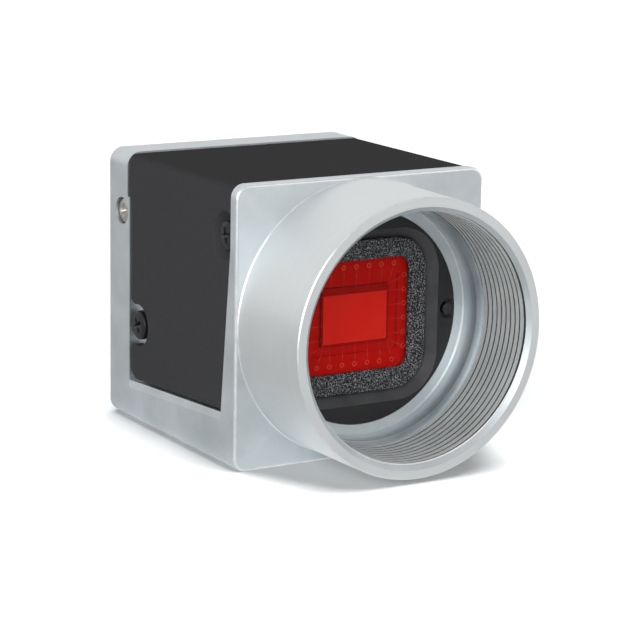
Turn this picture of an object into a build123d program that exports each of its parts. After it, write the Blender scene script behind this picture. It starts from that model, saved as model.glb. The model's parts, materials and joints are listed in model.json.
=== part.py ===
from build123d import *
import os

# Machine vision camera: a 29 mm cube of die-cast metal with a threaded lens mount.
# Millimetres. +Z is up, -Y is where the lens goes, +X is to the right seen from the front.
# The origin is on the underside, at the middle of the body.

# Body
body_width = 29.0
body_height = 29.0
body_depth = 28.0
corner_radius = 1.4
edge_rounding = 0.3
seam = 0.04
joint_gap = 0.01
fit_gap = 0.05
reach = 0.01

# Front housing
plate_thickness = 1.2
plate_foot_thickness = 2.9
plate_kink_drop = 6.5
plate_foot_z = 5.6
ledge_rear_z = 4.45
ledge_bevel_height = 0.8
ledge_bevel_depth = 0.15
base_thickness = 2.2
base_wall = 1.6
core_thickness = 3.4
core_inset = 2.1
core_top_gap = 0.6
tongue_reach = 1.8
tongue_height = 1.2
tongue_drop = 0.6

# Lens mount
tube_length = 11.4
thread_radius = 12.7
tube_wall = 1.55
tube_taper = 0.15
tube_root_fillet = 0.1
rim_break = 0.12
mouth_chamfer = 0.45
thread_end_depth = 7.7
undercut_step = 0.2
undercut_length = 0.8
relief_step = 0.5
ledge_depth = 10.9
ledge_width = 1.14
ledge_corner = 0.15

# Rear housing
rear_depth = 4.8
rear_corner_radius = 1.5
rear_edge_rounding = 0.25
rear_wall = 1.5
rear_side_wall = 1.5
upper_cutback = 0.46
upper_cutback_drop = 4.7

# Cover of folded black sheet
cover_thickness = 0.8
cover_top_inset = 0.17
cover_side_inset = 0.19
cover_fold_radius = 1.0
cover_inner_fold_radius = 0.25
cover_gap = 0.1
cover_foot_gap = 0.3
cover_corner_radius = 1.3

# Screws in the sides
screw_radius = 0.95
screw_length = 3.3
head_edge = 0.3
cross_width = 0.38
cross_span = 1.7
cross_depth = 0.45
cover_screw_from_front = 2.7
cover_screw_drop = 5.4
cover_screw_head_radius = 1.5
cover_screw_head_height = 0.95
dimple_radius = 2.5
dimple_floor_radius = 1.7
dimple_depth = 1.0
dimple_mouth_rounding = 0.3
post_height = 4.2
post_reach = 1.6
post_length = 2.9
lower_screw_from_cap = 1.7
lower_screw_z = 10.8
lower_screw_head_radius = 1.55
lower_screw_head_height = 1.05
lug_inset = 0.9
lug_thickness = 1.5
lug_length = 3.4
lug_top_margin = 3.6
ear_thickness = 2.6
ear_margin = 2.4
ear_reach = 1.6
notch_half_height = 2.15
notch_end_radius = 2.25
notch_lead_in = 0.95
rear_screw_from_rear = 3.0
rear_screw_drop = 6.4
rear_screw_head_radius = 1.3
rear_screw_head_height = 0.75
rear_screw_recess_radius = 1.45
rear_screw_recess_depth = 0.9
tab_half_height = 2.2
tab_reach = 1.3
collar_radius = 1.35
collar_length = 1.2

# Optics
flange_focal_distance = 12.526
cover_glass_thickness = 0.5
cover_glass_index = 1.52

# Image sensor
package_size = 14.22
die_width = 8.0
die_height = 6.1
die_thickness = 0.4
shelf_step = 0.15
well_width = 12.4
well_height = 11.9
cavity_width = 10.2
cavity_height = 7.9
glass_width = 13.1
glass_height = 12.5
glass_corner_radius = 1.5
pad_size = 0.5
pad_height = 0.06
pad_pitch = 1.5
pads_across = 7
pads_up = 6
pad_row_z = 5.05
pad_column_x = 5.8

# Sensor frame, its pins and the gasket
frame_flange_thickness = 0.9
funnel_outer = 18.0
funnel_outer_corner = 4.7
funnel_inner = 15.8
funnel_inner_corner = 3.7
funnel_depth = 1.1
package_gap = 0.14
pin_x = 10.35
pin_radius = 0.6
pin_pit_radius = 1.05
pin_pit_depth = 0.7
pin_sink = 0.2
pin_seat_depth = 0.8
gasket_size = 15.4
gasket_corner = 3.5
gasket_sink = 0.65
gasket_slope_size = 14.2
gasket_slope_corner = 2.8
gasket_lip = 0.2
window_width = 12.2
window_height = 11.7
window_corner = 1.2

# Circuit boards
board_thickness = 1.0
board_side_gap = 0.4
board_corner = 1.0
receptacle_room = 8.3
stud_hole_radius = 0.85

# Spacers that stack the boards
lower_spacer_inset = 1.98
lower_spacer_rise = 4.08
upper_spacer_inset = 4.9
upper_spacer_drop = 1.95
spacer_across_flats = 3.0
stud_radius = 0.75
stud_bore_depth = 2.4
stud_grip = 1.8
stack_head_radius = 1.4
stack_head_height = 0.9

# Parts on the boards
mezzanine_width = 13.0
mezzanine_height = 3.6
mezzanine_rise = 3.4
mezzanine_slot_width = 11.6
mezzanine_slot_height = 1.4
mezzanine_slot_gap = 0.1
mezzanine_overlap = 1.2
processor_size = 10.0
processor_height = 1.3
processor_rise = 2.0
memory_width = 8.0
memory_height = 5.5
memory_thickness = 0.9
memory_rise = 6.0
inductor_size = 3.0
inductor_height = 1.6
inductor_x = 7.5
inductor_drop = 1.5
oscillator_size = 2.5
oscillator_height = 0.8
oscillator_x = 9.0
oscillator_drop = 2.0
capacitor_length = 1.0
capacitor_width = 0.5
capacitor_pitch = 2.2
capacitor_drop = 4.0
capacitor_count = 5

# USB receptacle and its lock screws
usb_z = 8.4
usb_main_width = 7.4
usb_side_width = 4.6
usb_height = 2.9
usb_bevel = 0.7
usb_neck_height = 1.9
usb_neck_overlap = 0.2
usb_wall = 0.25
usb_protrusion = 0.6
usb_socket_depth = 5.2
usb_tongue_thickness = 0.7
usb_tongue_sink = 0.5
usb_tongue_drop = 0.85
usb_main_tongue_width = 4.6
usb_side_tongue_width = 2.6
usb_main_pitch = 0.65
usb_side_pitch = 0.5
usb_contact_width = 0.3
usb_contact_thickness = 0.08
usb_contacts_each = 5
usb_panel_gap = 0.2
lock_screw_spacing = 18.5
lock_screw_radius = 0.8
lock_screw_depth = 3.4
lock_boss_radius = 1.8
lock_boss_end = 0.6

# Round six-pin receptacle
io_x = 5.4
io_rise = 5.7
io_radius = 4.3
io_bore_radius = 3.55
io_protrusion = 6.8
io_socket_depth = 6.0
io_flange_radius = 5.1
io_flange_thickness = 0.8
io_nut_radius = 5.3
io_nut_thickness = 1.2
io_nut_slot = 1.0
io_nut_chamfer = 0.25
io_skirt = 2.0
io_groove_depth = 0.25
io_groove_width = 0.8
io_groove_from_end = 2.2
io_pin_radius = 0.35
io_pin_circle = 1.95
io_pins_around = 5
io_pin_length = 4.2
io_pin_seat = 2.0
io_key_width = 0.9
io_key_height = 0.45
io_key_sink = 0.6

# Status light
light_x = -7.6
light_rise = 7.5
light_radius = 1.0
light_collar_radius = 1.5
light_collar_thickness = 0.8
light_protrusion = 0.15
led_width = 1.6
led_height = 0.8
led_thickness = 0.7
led_gap = 0.25

# Threaded holes in the underside
base_hole_spacing = 20.0
base_hole_radius = 1.25
base_hole_depth = 4.0
base_hole_chamfer = 0.25
base_boss_radius = 2.3
base_boss_roof = 0.5

# Places that follow from the sizes
front_y = -body_depth / 2
rear_y = body_depth / 2
side_x = body_width / 2
axis_z = body_height / 2
tube_base_radius = thread_radius + tube_wall
tube_rim_radius = tube_base_radius - tube_taper
mouth_radius = thread_radius + mouth_chamfer
undercut_radius = thread_radius + undercut_step
relief_radius = thread_radius - relief_step
frame_flange_radius = relief_radius
aperture_radius = relief_radius - ledge_width
rim_y = front_y - tube_length
ledge_y = rim_y + ledge_depth
thread_end_y = rim_y + thread_end_depth
core_y = front_y + core_thickness
rear_front_y = rear_y - rear_depth
rear_inner_y = rear_y - rear_wall
base_rear_y = rear_front_y - joint_gap
plate_kink_z = body_height - plate_kink_drop
upper_cutback_z = body_height - upper_cutback_drop
wall_x = side_x - base_wall
core_x = side_x - core_inset
cover_x = side_x - cover_side_inset
cover_inner_x = cover_x - cover_thickness
cover_top_z = body_height - cover_top_inset
cover_inner_z = cover_top_z - cover_thickness
dimple_inner_x = cover_x - dimple_depth - cover_thickness
core_top_z = cover_inner_z - core_top_gap
cover_screw_y = front_y + cover_screw_from_front
cover_screw_z = body_height - cover_screw_drop
lower_screw_y = rear_front_y - lower_screw_from_cap
rear_screw_y = rear_y - rear_screw_from_rear
rear_screw_z = body_height - rear_screw_drop
lug_x = cover_x - lug_inset
ear_x = lug_x - lug_thickness - fit_gap
die_y = rim_y + flange_focal_distance + cover_glass_thickness * (1 - 1 / cover_glass_index)
package_y = die_y - shelf_step
glass_y = package_y - cover_glass_thickness
sensor_board_y = core_y
interface_rear_y = rear_inner_y - receptacle_room
board_pitch = (interface_rear_y - board_thickness - sensor_board_y) / 2
processing_board_y = sensor_board_y + board_pitch
interface_board_y = processing_board_y + board_pitch
board_width = 2 * (wall_x - board_side_gap)
board_height = 2 * (axis_z - base_thickness)
base_hole_x = base_hole_spacing / 2
base_boss_top = base_hole_depth + base_boss_roof
mezzanine_z = base_thickness + mezzanine_rise
io_z = axis_z + io_rise
light_z = axis_z + light_rise

os.makedirs("parts", exist_ok=True)


def block(x0, x1, y0, y1, z0, z1):
    """Box between two corners."""
    centre = Pos((x0 + x1) / 2, (y0 + y1) / 2, (z0 + z1) / 2)
    return centre * Box(abs(x1 - x0), abs(y1 - y0), abs(z1 - z0))


def rod_x(radius, x0, x1, y, z):
    """Cylinder along X."""
    return Pos((x0 + x1) / 2, y, z) * Rot(0, 90, 0) * Cylinder(radius, abs(x1 - x0))


def rod_y(radius, y0, y1, x=0.0, z=axis_z):
    """Cylinder along Y."""
    return Pos(x, (y0 + y1) / 2, z) * Rot(90, 0, 0) * Cylinder(radius, abs(y1 - y0))


def rod_z(radius, z0, z1, x, y):
    """Cylinder along Z."""
    return Pos(x, y, (z0 + z1) / 2) * Cylinder(radius, abs(z1 - z0))


def facing(y, x=0.0, z=axis_z):
    """Plane across the camera's axis, seen from the front: local X is X and local Y is Z."""
    return Plane(origin=(x, y, z), x_dir=(1, 0, 0), z_dir=(0, -1, 0))


def prism(shape, y0, y1, x=0.0, z=axis_z):
    """Flat shape seen from the front, drawn out along Y."""
    return extrude(facing(y0, x, z) * shape, y1 - y0, dir=(0, 1, 0))


def funnel(front_shape, y0, rear_shape, y1):
    """Straight-sided passage from one flat shape to another behind it."""
    return loft(Sketch() + [facing(y0) * front_shape, facing(y1) * rear_shape])


def turned(*points):
    """Solid of revolution about the camera's axis, from (radius, y) points."""
    profile = make_face(Polyline(*points, close=True))
    return Pos(0, 0, axis_z) * revolve(profile, Axis.Y)


def pair(right_piece):
    """A piece on the right together with its mirror image on the left."""
    return Part() + [right_piece, mirror(right_piece, Plane.YZ)]


def edges_at(solid, axis, place):
    """Edges that lie at one place along an axis."""
    return solid.edges().filter_by_position(axis, place - reach, place + reach)


def save(name, pieces):
    """Write one node, of one solid or of a group of separate solids."""
    pieces = pieces if isinstance(pieces, list) else [pieces]
    solids = [solid for piece in pieces for solid in piece.solids()]
    export_step(Compound(children=solids), f"parts/{name}.step")


def side_screw(head_radius, head_height, head_top_x, y, z):
    """Pan-head screw with a cross recess, driven into the right side along X."""
    seat_x = head_top_x - head_height
    head = rod_x(head_radius, seat_x, head_top_x, y, z)
    head = fillet(edges_at(head, Axis.X, head_top_x), head_edge)
    long, short = cross_span / 2, cross_width / 2
    floor_x = head_top_x - cross_depth
    head -= block(floor_x, head_top_x, y - long, y + long, z - short, z + short)
    head -= block(floor_x, head_top_x, y - short, y + short, z - long, z + long)
    return head + rod_x(screw_radius, seat_x - screw_length, seat_x, y, z)


def spacer_places():
    """Centres of the four spacers, as (x, z), inset from the edges of the boards."""
    lower_x = board_width / 2 - lower_spacer_inset
    lower_z = base_thickness + lower_spacer_rise
    upper_x = board_width / 2 - upper_spacer_inset
    upper_z = core_top_z - upper_spacer_drop
    return [(-lower_x, lower_z), (lower_x, lower_z), (-upper_x, upper_z), (upper_x, upper_z)]


def board(y):
    """Circuit board with a hole for each spacer, cut clear of the bosses in the base."""
    plate = prism(RectangleRounded(board_width, board_height, board_corner), y, y + board_thickness)
    for x, z in spacer_places():
        plate -= rod_y(stud_hole_radius, y, y + board_thickness, x, z)
    boss_room = rod_z(base_boss_radius + 2 * fit_gap, 0, base_boss_top + fit_gap, base_hole_x, 0)
    return plate - pair(boss_room)


# Front housing: front plate, lens tube and base, die-cast as one piece

side_profile = Polyline(
    (front_y, 0),
    (base_rear_y, 0),
    (base_rear_y, ledge_rear_z),
    (front_y + plate_foot_thickness, plate_foot_z),
    (front_y + plate_thickness, plate_kink_z),
    (front_y + plate_thickness, body_height),
    (front_y, body_height),
    close=True,
)
front_housing = extrude(Plane.YZ * make_face(side_profile), side_x, both=True)
long_edges = front_housing.edges().filter_by(Axis.Y)
outer_corners = [e for e in long_edges if e.center().Z < reach or e.center().Z > body_height - reach]
front_housing = fillet(outer_corners, corner_radius)
front_housing = fillet(edges_at(front_housing, Axis.Y, front_y), edge_rounding)

# Narrow bevel along the base, just below the cover
ledge_line_y = front_y + plate_foot_thickness
ledge_slope = (plate_foot_z - ledge_rear_z) / (base_rear_y - ledge_line_y)
bevel = make_face(
    Polyline(
        (side_x, -ledge_bevel_height),
        (side_x + ledge_bevel_depth, -ledge_bevel_height),
        (side_x + ledge_bevel_depth, ledge_bevel_depth),
        (side_x - ledge_bevel_depth, 0),
        close=True,
    )
)
bevel_start = Plane(origin=(0, ledge_line_y, plate_foot_z), x_dir=(1, 0, 0), z_dir=(0, -1, 0))
bevel_run = Vector(0, 1, -ledge_slope) * (rear_y - ledge_line_y)
front_housing -= pair(extrude(bevel_start * bevel, amount=bevel_run.length, dir=bevel_run))

plate_middle_y = front_y + plate_thickness / 2
plate_rear_y = front_y + plate_thickness
front_housing -= block(-wall_x, wall_x, plate_rear_y, rear_y, base_thickness, core_top_z)
front_housing += block(-core_x, core_x, plate_middle_y, core_y, base_thickness / 2, core_top_z)
tongue_z = base_thickness - tongue_drop
front_housing += block(
    -wall_x + fit_gap,
    wall_x - fit_gap,
    rear_front_y - 2 * tongue_reach,
    rear_front_y + tongue_reach,
    tongue_z,
    tongue_z + tongue_height,
)

# Posts behind the plate for the cover's screws, and lugs at the rear for the lower side screws
post_x = dimple_inner_x - seam
front_housing += pair(
    block(
        post_x - post_length,
        post_x,
        plate_middle_y,
        cover_screw_y + post_reach,
        cover_screw_z - post_height / 2,
        cover_screw_z + post_height / 2,
    )
)
front_housing += pair(
    block(
        lug_x - lug_thickness,
        lug_x,
        base_rear_y - lug_length,
        base_rear_y,
        base_thickness / 2,
        lower_screw_z + lug_top_margin,
    )
)

# Lens tube, with a small cove at its root, and all that is bored through it
root_radius = tube_base_radius + tube_root_fillet
front_housing += turned(
    (0, plate_middle_y),
    (0, rim_y),
    (tube_rim_radius - rim_break, rim_y),
    (tube_rim_radius, rim_y + rim_break),
    (tube_base_radius, front_y - tube_root_fillet),
    (root_radius, front_y),
    (root_radius, plate_middle_y),
)
flange_seat_y = core_y - frame_flange_thickness
flange_seat_radius = frame_flange_radius + fit_gap
front_housing -= turned(
    (0, rim_y),
    (mouth_radius, rim_y),
    (thread_radius, rim_y + mouth_radius - thread_radius),
    (thread_radius, thread_end_y),
    (undercut_radius, thread_end_y),
    (undercut_radius, thread_end_y + undercut_length),
    (relief_radius, thread_end_y + undercut_length),
    (relief_radius, ledge_y - ledge_corner),
    (relief_radius - ledge_corner, ledge_y),
    (aperture_radius, ledge_y),
    (aperture_radius, flange_seat_y),
    (flange_seat_radius, flange_seat_y),
    (flange_seat_radius, core_y),
    (0, core_y),
)

# Holes for the side screws, the spacers' studs and what the camera is mounted with
hole_radius = screw_radius + fit_gap
cover_hole_end_x = dimple_inner_x + cover_thickness - screw_length - fit_gap
front_housing -= pair(rod_x(hole_radius, cover_hole_end_x, post_x, cover_screw_y, cover_screw_z))
front_housing -= pair(rod_x(hole_radius, lug_x - lug_thickness, lug_x, lower_screw_y, lower_screw_z))
for x, z in spacer_places():
    front_housing -= rod_y(stud_radius + fit_gap, core_y - stud_grip - fit_gap, core_y, x, z)
front_housing += pair(rod_z(base_boss_radius, base_thickness / 2, base_boss_top, base_hole_x, 0))
mouth = Cone(base_hole_radius + base_hole_chamfer, base_hole_radius, base_hole_chamfer)
front_housing -= pair(
    rod_z(base_hole_radius, 0, base_hole_depth, base_hole_x, 0)
    + Pos(base_hole_x, 0, base_hole_chamfer / 2) * mouth
)
save("front_housing", front_housing)


# Rear housing: a die-cast cap behind the base and the cover

rear_housing = prism(RectangleRounded(body_width, body_height, rear_corner_radius), rear_front_y, rear_y)
rear_housing = fillet(edges_at(rear_housing, Axis.Y, rear_y), rear_edge_rounding)
rear_wall_x = side_x - rear_side_wall
rear_housing -= block(
    -rear_wall_x,
    rear_wall_x,
    rear_front_y,
    rear_inner_y,
    rear_side_wall,
    body_height - rear_side_wall,
)
cutback_y = rear_front_y + upper_cutback
rear_housing -= block(-side_x, side_x, rear_front_y, cutback_y, upper_cutback_z, body_height)

# Ears that the lower side screws thread into, and recessed holes for the rear side screws
rear_middle_y = rear_inner_y + rear_wall / 2
rear_housing += pair(
    block(
        ear_x - ear_thickness,
        ear_x,
        lower_screw_y - ear_reach,
        rear_middle_y,
        lower_screw_z - ear_margin,
        lower_screw_z + ear_margin,
    )
)
rear_housing -= pair(rod_x(hole_radius, ear_x - ear_thickness, ear_x, lower_screw_y, lower_screw_z))
recess_x = side_x - rear_screw_recess_depth
rear_housing -= pair(
    rod_x(rear_screw_recess_radius, recess_x, side_x, rear_screw_y, rear_screw_z)
    + rod_x(hole_radius, rear_wall_x, side_x, rear_screw_y, rear_screw_z)
)


def usb_outline():
    """Receptacle outline seen from the front: a wide section, a narrow one and the neck between them."""
    total = usb_main_width + usb_side_width
    main_x = -total / 2 + usb_main_width / 2
    side_section_x = total / 2 - usb_side_width / 2
    main = Rectangle(usb_main_width, usb_height)
    main = chamfer(main.vertices().group_by(Axis.Y)[0], usb_bevel)
    side_section = Rectangle(usb_side_width - usb_bevel, usb_height)
    side_section = chamfer(side_section.vertices().group_by(Axis.Y)[0], usb_bevel / 2)
    neck = Rectangle(2 * (usb_bevel + usb_neck_overlap), usb_neck_height)
    return (
        Pos(main_x, 0) * main
        + Pos(side_section_x + usb_bevel / 2, 0) * side_section
        + Pos(main_x + usb_main_width / 2, (usb_height - usb_neck_height) / 2) * neck
    )


receptacle_front_y = interface_rear_y + fit_gap
usb_rear_y = rear_y + usb_protrusion
usb_socket_y = usb_rear_y - usb_socket_depth
usb_shape = usb_outline()
usb_window = offset(usb_shape, usb_panel_gap, kind=Kind.INTERSECTION)
rear_housing -= prism(usb_window, rear_inner_y, rear_y, 0, usb_z)
lock_x = lock_screw_spacing / 2
lock_boss_y = rear_y - lock_screw_depth - lock_boss_end
rear_housing += pair(rod_y(lock_boss_radius, lock_boss_y, rear_middle_y, lock_x, usb_z))
rear_housing -= pair(rod_y(lock_screw_radius, rear_y - lock_screw_depth, rear_y, lock_x, usb_z))
rear_housing -= rod_y(io_radius + fit_gap, rear_inner_y, rear_y, io_x, io_z)
rear_housing -= rod_y(light_radius + fit_gap, rear_inner_y, rear_y, light_x, light_z)
save("rear_housing", rear_housing)


# Cover: one black sheet folded over the top and both sides

cover_front_y = front_y + plate_thickness + cover_gap
cover_rear_y = rear_front_y - cover_gap
cover_upper_rear_y = rear_front_y + upper_cutback - cover_gap
cover = block(-cover_x, cover_x, front_y, rear_y, 0, cover_top_z)
fold_edges = [e for e in cover.edges().filter_by(Axis.Y) if e.center().Z > axis_z]
cover = fillet(fold_edges, cover_fold_radius)
cover_room = block(-cover_inner_x, cover_inner_x, front_y, rear_y, 0, cover_inner_z)
inner_fold_edges = [e for e in cover_room.edges().filter_by(Axis.Y) if e.center().Z > axis_z]
cover -= fillet(inner_fold_edges, cover_inner_fold_radius)
dimple_outside = Cone(
    dimple_floor_radius + cover_thickness,
    dimple_radius + cover_thickness,
    cover_inner_x - dimple_inner_x,
)
dimple_middle_x = (cover_inner_x + dimple_inner_x) / 2
cover += pair(Pos(dimple_middle_x, cover_screw_y, cover_screw_z) * Rot(0, 90, 0) * dimple_outside)
dimple_inside = Cone(dimple_floor_radius, dimple_radius, dimple_depth)
dimple_middle_x = cover_x - dimple_depth / 2
cover -= pair(Pos(dimple_middle_x, cover_screw_y, cover_screw_z) * Rot(0, 90, 0) * dimple_inside)
round_edges = cover.edges().filter_by(GeomType.CIRCLE)
dimple_mouths = [e for e in round_edges if abs(e.radius - dimple_radius) < reach]
cover = fillet(dimple_mouths, dimple_mouth_rounding)

cover_profile = Polyline(
    (cover_front_y, cover_top_z),
    (cover_front_y, plate_kink_z),
    (front_y + plate_foot_thickness + cover_gap, plate_foot_z + cover_foot_gap),
    (cover_rear_y, ledge_rear_z + cover_foot_gap),
    (cover_rear_y, upper_cutback_z + cover_gap),
    (cover_upper_rear_y, upper_cutback_z + cover_gap),
    (cover_upper_rear_y, cover_top_z),
    close=True,
)
cover &= extrude(Plane.YZ * make_face(cover_profile), side_x, both=True)
cover -= block(
    -side_x,
    side_x,
    lower_screw_y,
    rear_y,
    lower_screw_z - notch_half_height,
    lower_screw_z + notch_half_height,
)
rear_edges = edges_at(cover, Axis.Y, cover_rear_y).filter_by(Axis.X)
foot_edges = [e for e in rear_edges if e.center().Z < ledge_rear_z + cover_foot_gap + reach]
cover = fillet(foot_edges, cover_corner_radius)
rear_edges = edges_at(cover, Axis.Y, cover_rear_y).filter_by(Axis.X)
mouth_edges = [e for e in rear_edges if abs(e.center().Z - lower_screw_z) < notch_half_height + reach]
cover = fillet(mouth_edges, notch_lead_in)
cover -= pair(
    rod_x(notch_end_radius, cover_inner_x - fit_gap, side_x, lower_screw_y, lower_screw_z)
)

# Tabs behind the sides, each with a threaded collar for a rear side screw
tab_x = rear_wall_x - 2 * fit_gap
tab_inner_x = tab_x - cover_thickness
web_y = cover_rear_y - cover_thickness
tab_low_z = rear_screw_z - tab_half_height
tab_high_z = upper_cutback_z - cover_gap
collar_end_x = tab_inner_x - collar_length
cover += pair(
    block(tab_inner_x, cover_inner_x + cover_thickness / 2, web_y, cover_rear_y, tab_low_z, tab_high_z)
    + block(tab_inner_x, tab_x, web_y, rear_screw_y + tab_reach, tab_low_z, tab_high_z)
    + rod_x(collar_radius, collar_end_x, tab_x, rear_screw_y, rear_screw_z)
)
cover -= pair(
    rod_x(hole_radius, collar_end_x, tab_x, rear_screw_y, rear_screw_z)
    + rod_x(hole_radius, dimple_inner_x, cover_x, cover_screw_y, cover_screw_z)
)
save("top_cover", cover)


# Screws in the sides

cover_head_x = cover_x - dimple_depth + cover_screw_head_height
cover_screw = side_screw(
    cover_screw_head_radius, cover_screw_head_height, cover_head_x, cover_screw_y, cover_screw_z
)
save("cover_screws", pair(cover_screw))
lower_head_x = lug_x + lower_screw_head_height
lower_screw = side_screw(
    lower_screw_head_radius, lower_screw_head_height, lower_head_x, lower_screw_y, lower_screw_z
)
save("lower_side_screws", pair(lower_screw))
rear_head_x = recess_x + rear_screw_head_height
rear_screw = side_screw(
    rear_screw_head_radius, rear_screw_head_height, rear_head_x, rear_screw_y, rear_screw_z
)
save("rear_side_screws", pair(rear_screw))


# Image sensor: ceramic package with a well, a cavity, the die, bond pads and a bonded cover glass

package = prism(Rectangle(package_size, package_size), package_y, sensor_board_y - seam / 2)
package -= prism(Rectangle(well_width, well_height), package_y, die_y)
package -= prism(Rectangle(cavity_width, cavity_height), die_y, die_y + die_thickness)
save("sensor_package", package)
save("sensor_die", prism(Rectangle(die_width, die_height), die_y, die_y + die_thickness))
save(
    "sensor_cover_glass",
    prism(RectangleRounded(glass_width, glass_height, glass_corner_radius), glass_y, package_y),
)


def bond_pad(x, dz):
    """One square contact pad on the package's shelf."""
    return prism(Rectangle(pad_size, pad_size), die_y - pad_height, die_y, x, axis_z + dz)


pads = []
for i in range(pads_across):
    x = (i - (pads_across - 1) / 2) * pad_pitch
    pads += [bond_pad(x, pad_row_z), bond_pad(x, -pad_row_z)]
for i in range(pads_up):
    dz = (i - (pads_up - 1) / 2) * pad_pitch
    pads += [bond_pad(pad_column_x, dz), bond_pad(-pad_column_x, dz)]
save("bond_pads", pads)


# Sensor frame: black insert that fills the aperture, with a funnel down to the sensor

frame = turned(
    (0, ledge_y),
    (aperture_radius - fit_gap, ledge_y),
    (aperture_radius - fit_gap, core_y - frame_flange_thickness),
    (frame_flange_radius, core_y - frame_flange_thickness),
    (frame_flange_radius, core_y - seam),
    (0, core_y - seam),
)
funnel_y = ledge_y + funnel_depth
frame -= funnel(
    RectangleRounded(funnel_outer, funnel_outer, funnel_outer_corner),
    ledge_y,
    RectangleRounded(funnel_inner, funnel_inner, funnel_inner_corner),
    funnel_y,
)
frame -= prism(RectangleRounded(funnel_inner, funnel_inner, funnel_inner_corner), funnel_y, package_y)
package_room = package_size + 2 * package_gap
frame -= prism(Rectangle(package_room, package_room), package_y, core_y)
pit_y = ledge_y + pin_pit_depth
for x in (-pin_x, pin_x):
    frame -= rod_y(pin_pit_radius, ledge_y, pit_y, x)
    frame -= rod_y(pin_radius, pit_y, pit_y + pin_seat_depth, x)
save("sensor_frame", frame)
save(
    "frame_pins",
    [rod_y(pin_radius, ledge_y + pin_sink, pit_y + pin_seat_depth, x) for x in (-pin_x, pin_x)],
)


# Gasket: soft black seal between the frame, the package and the cover glass

gasket_y = ledge_y + gasket_sink
lip_y = glass_y - gasket_lip
gasket = prism(RectangleRounded(gasket_size, gasket_size, gasket_corner), gasket_y, package_y - seam / 2)
gasket -= funnel(
    RectangleRounded(gasket_slope_size, gasket_slope_size, gasket_slope_corner),
    gasket_y,
    RectangleRounded(window_width, window_height, window_corner),
    lip_y,
)
gasket -= prism(RectangleRounded(window_width, window_height, window_corner), lip_y, package_y)
gasket -= prism(
    RectangleRounded(glass_width + fit_gap, glass_height + fit_gap, glass_corner_radius),
    glass_y - seam / 2,
    package_y,
)
save("sensor_gasket", gasket)


# Boards and the spacers between them

front_spacer_y = sensor_board_y + board_thickness
rear_spacer_y = processing_board_y + board_thickness
sensor_board = board(sensor_board_y)
sensor_board -= pair(
    block(
        post_x - post_length - 2 * fit_gap,
        side_x,
        sensor_board_y,
        front_spacer_y,
        cover_screw_z - post_height / 2 - 2 * fit_gap,
        body_height,
    )
)
save("sensor_board", sensor_board)
save("processing_board", board(processing_board_y))
save("interface_board", board(interface_board_y))


def spacer(x, z, y0, y1):
    """Hexagonal post with a stud through the board in front and a threaded bore behind."""
    hexagon = RegularPolygon(spacer_across_flats / 2, 6, major_radius=False)
    post = prism(hexagon, y0, y1, x, z)
    post -= rod_y(stud_radius + fit_gap, y1 - stud_bore_depth, y1, x, z)
    return post + rod_y(stud_radius, y0 - board_thickness - stud_grip, y0, x, z)


save("front_spacers", [spacer(x, z, front_spacer_y, processing_board_y) for x, z in spacer_places()])
save("rear_spacers", [spacer(x, z, rear_spacer_y, interface_board_y) for x, z in spacer_places()])
save(
    "stack_screws",
    [
        rod_y(stud_radius, interface_board_y - stud_grip, interface_rear_y, x, z)
        + rod_y(stack_head_radius, interface_rear_y, interface_rear_y + stack_head_height, x, z)
        for x, z in spacer_places()
    ],
)


# Parts on the boards

def mezzanine(y0, y1):
    """Plug on the board in front and socket on the board behind."""
    middle = (y0 + y1) / 2
    body = Rectangle(mezzanine_width, mezzanine_height)
    tongue = Rectangle(mezzanine_slot_width, mezzanine_slot_height)
    slot = Rectangle(
        mezzanine_slot_width + 2 * mezzanine_slot_gap, mezzanine_slot_height + 2 * mezzanine_slot_gap
    )
    plug = prism(body, y0, middle, 0, mezzanine_z)
    plug += prism(tongue, middle, middle + mezzanine_overlap, 0, mezzanine_z)
    socket = prism(body, middle + seam, y1, 0, mezzanine_z)
    socket -= prism(slot, middle + seam, middle + mezzanine_overlap + fit_gap, 0, mezzanine_z)
    return plug, socket


front_plug, front_socket = mezzanine(front_spacer_y, processing_board_y)
rear_plug, rear_socket = mezzanine(rear_spacer_y, interface_board_y)
save("front_board_plug", front_plug)
save("front_board_socket", front_socket)
save("rear_board_plug", rear_plug)
save("rear_board_socket", rear_socket)
save(
    "processor_chip",
    prism(
        Rectangle(processor_size, processor_size),
        rear_spacer_y,
        rear_spacer_y + processor_height,
        0,
        axis_z + processor_rise,
    ),
)
save(
    "memory_chip",
    prism(
        Rectangle(memory_width, memory_height),
        processing_board_y - memory_thickness,
        processing_board_y,
        0,
        axis_z + memory_rise,
    ),
)
save(
    "power_inductors",
    [
        prism(
            Rectangle(inductor_size, inductor_size),
            interface_board_y - inductor_height,
            interface_board_y,
            x,
            axis_z - inductor_drop,
        )
        for x in (-inductor_x, inductor_x)
    ],
)
save(
    "oscillator",
    prism(
        Rectangle(oscillator_size, oscillator_size),
        processing_board_y - oscillator_height,
        processing_board_y,
        oscillator_x,
        axis_z - oscillator_drop,
    ),
)
save(
    "board_capacitors",
    [
        prism(
            Rectangle(capacitor_width, capacitor_length),
            processing_board_y - capacitor_width,
            processing_board_y,
            (i - (capacitor_count - 1) / 2) * capacitor_pitch,
            axis_z - capacitor_drop,
        )
        for i in range(capacitor_count)
    ],
)


# USB receptacle: pressed steel shell, black insulator with two tongues, gold contacts

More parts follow.
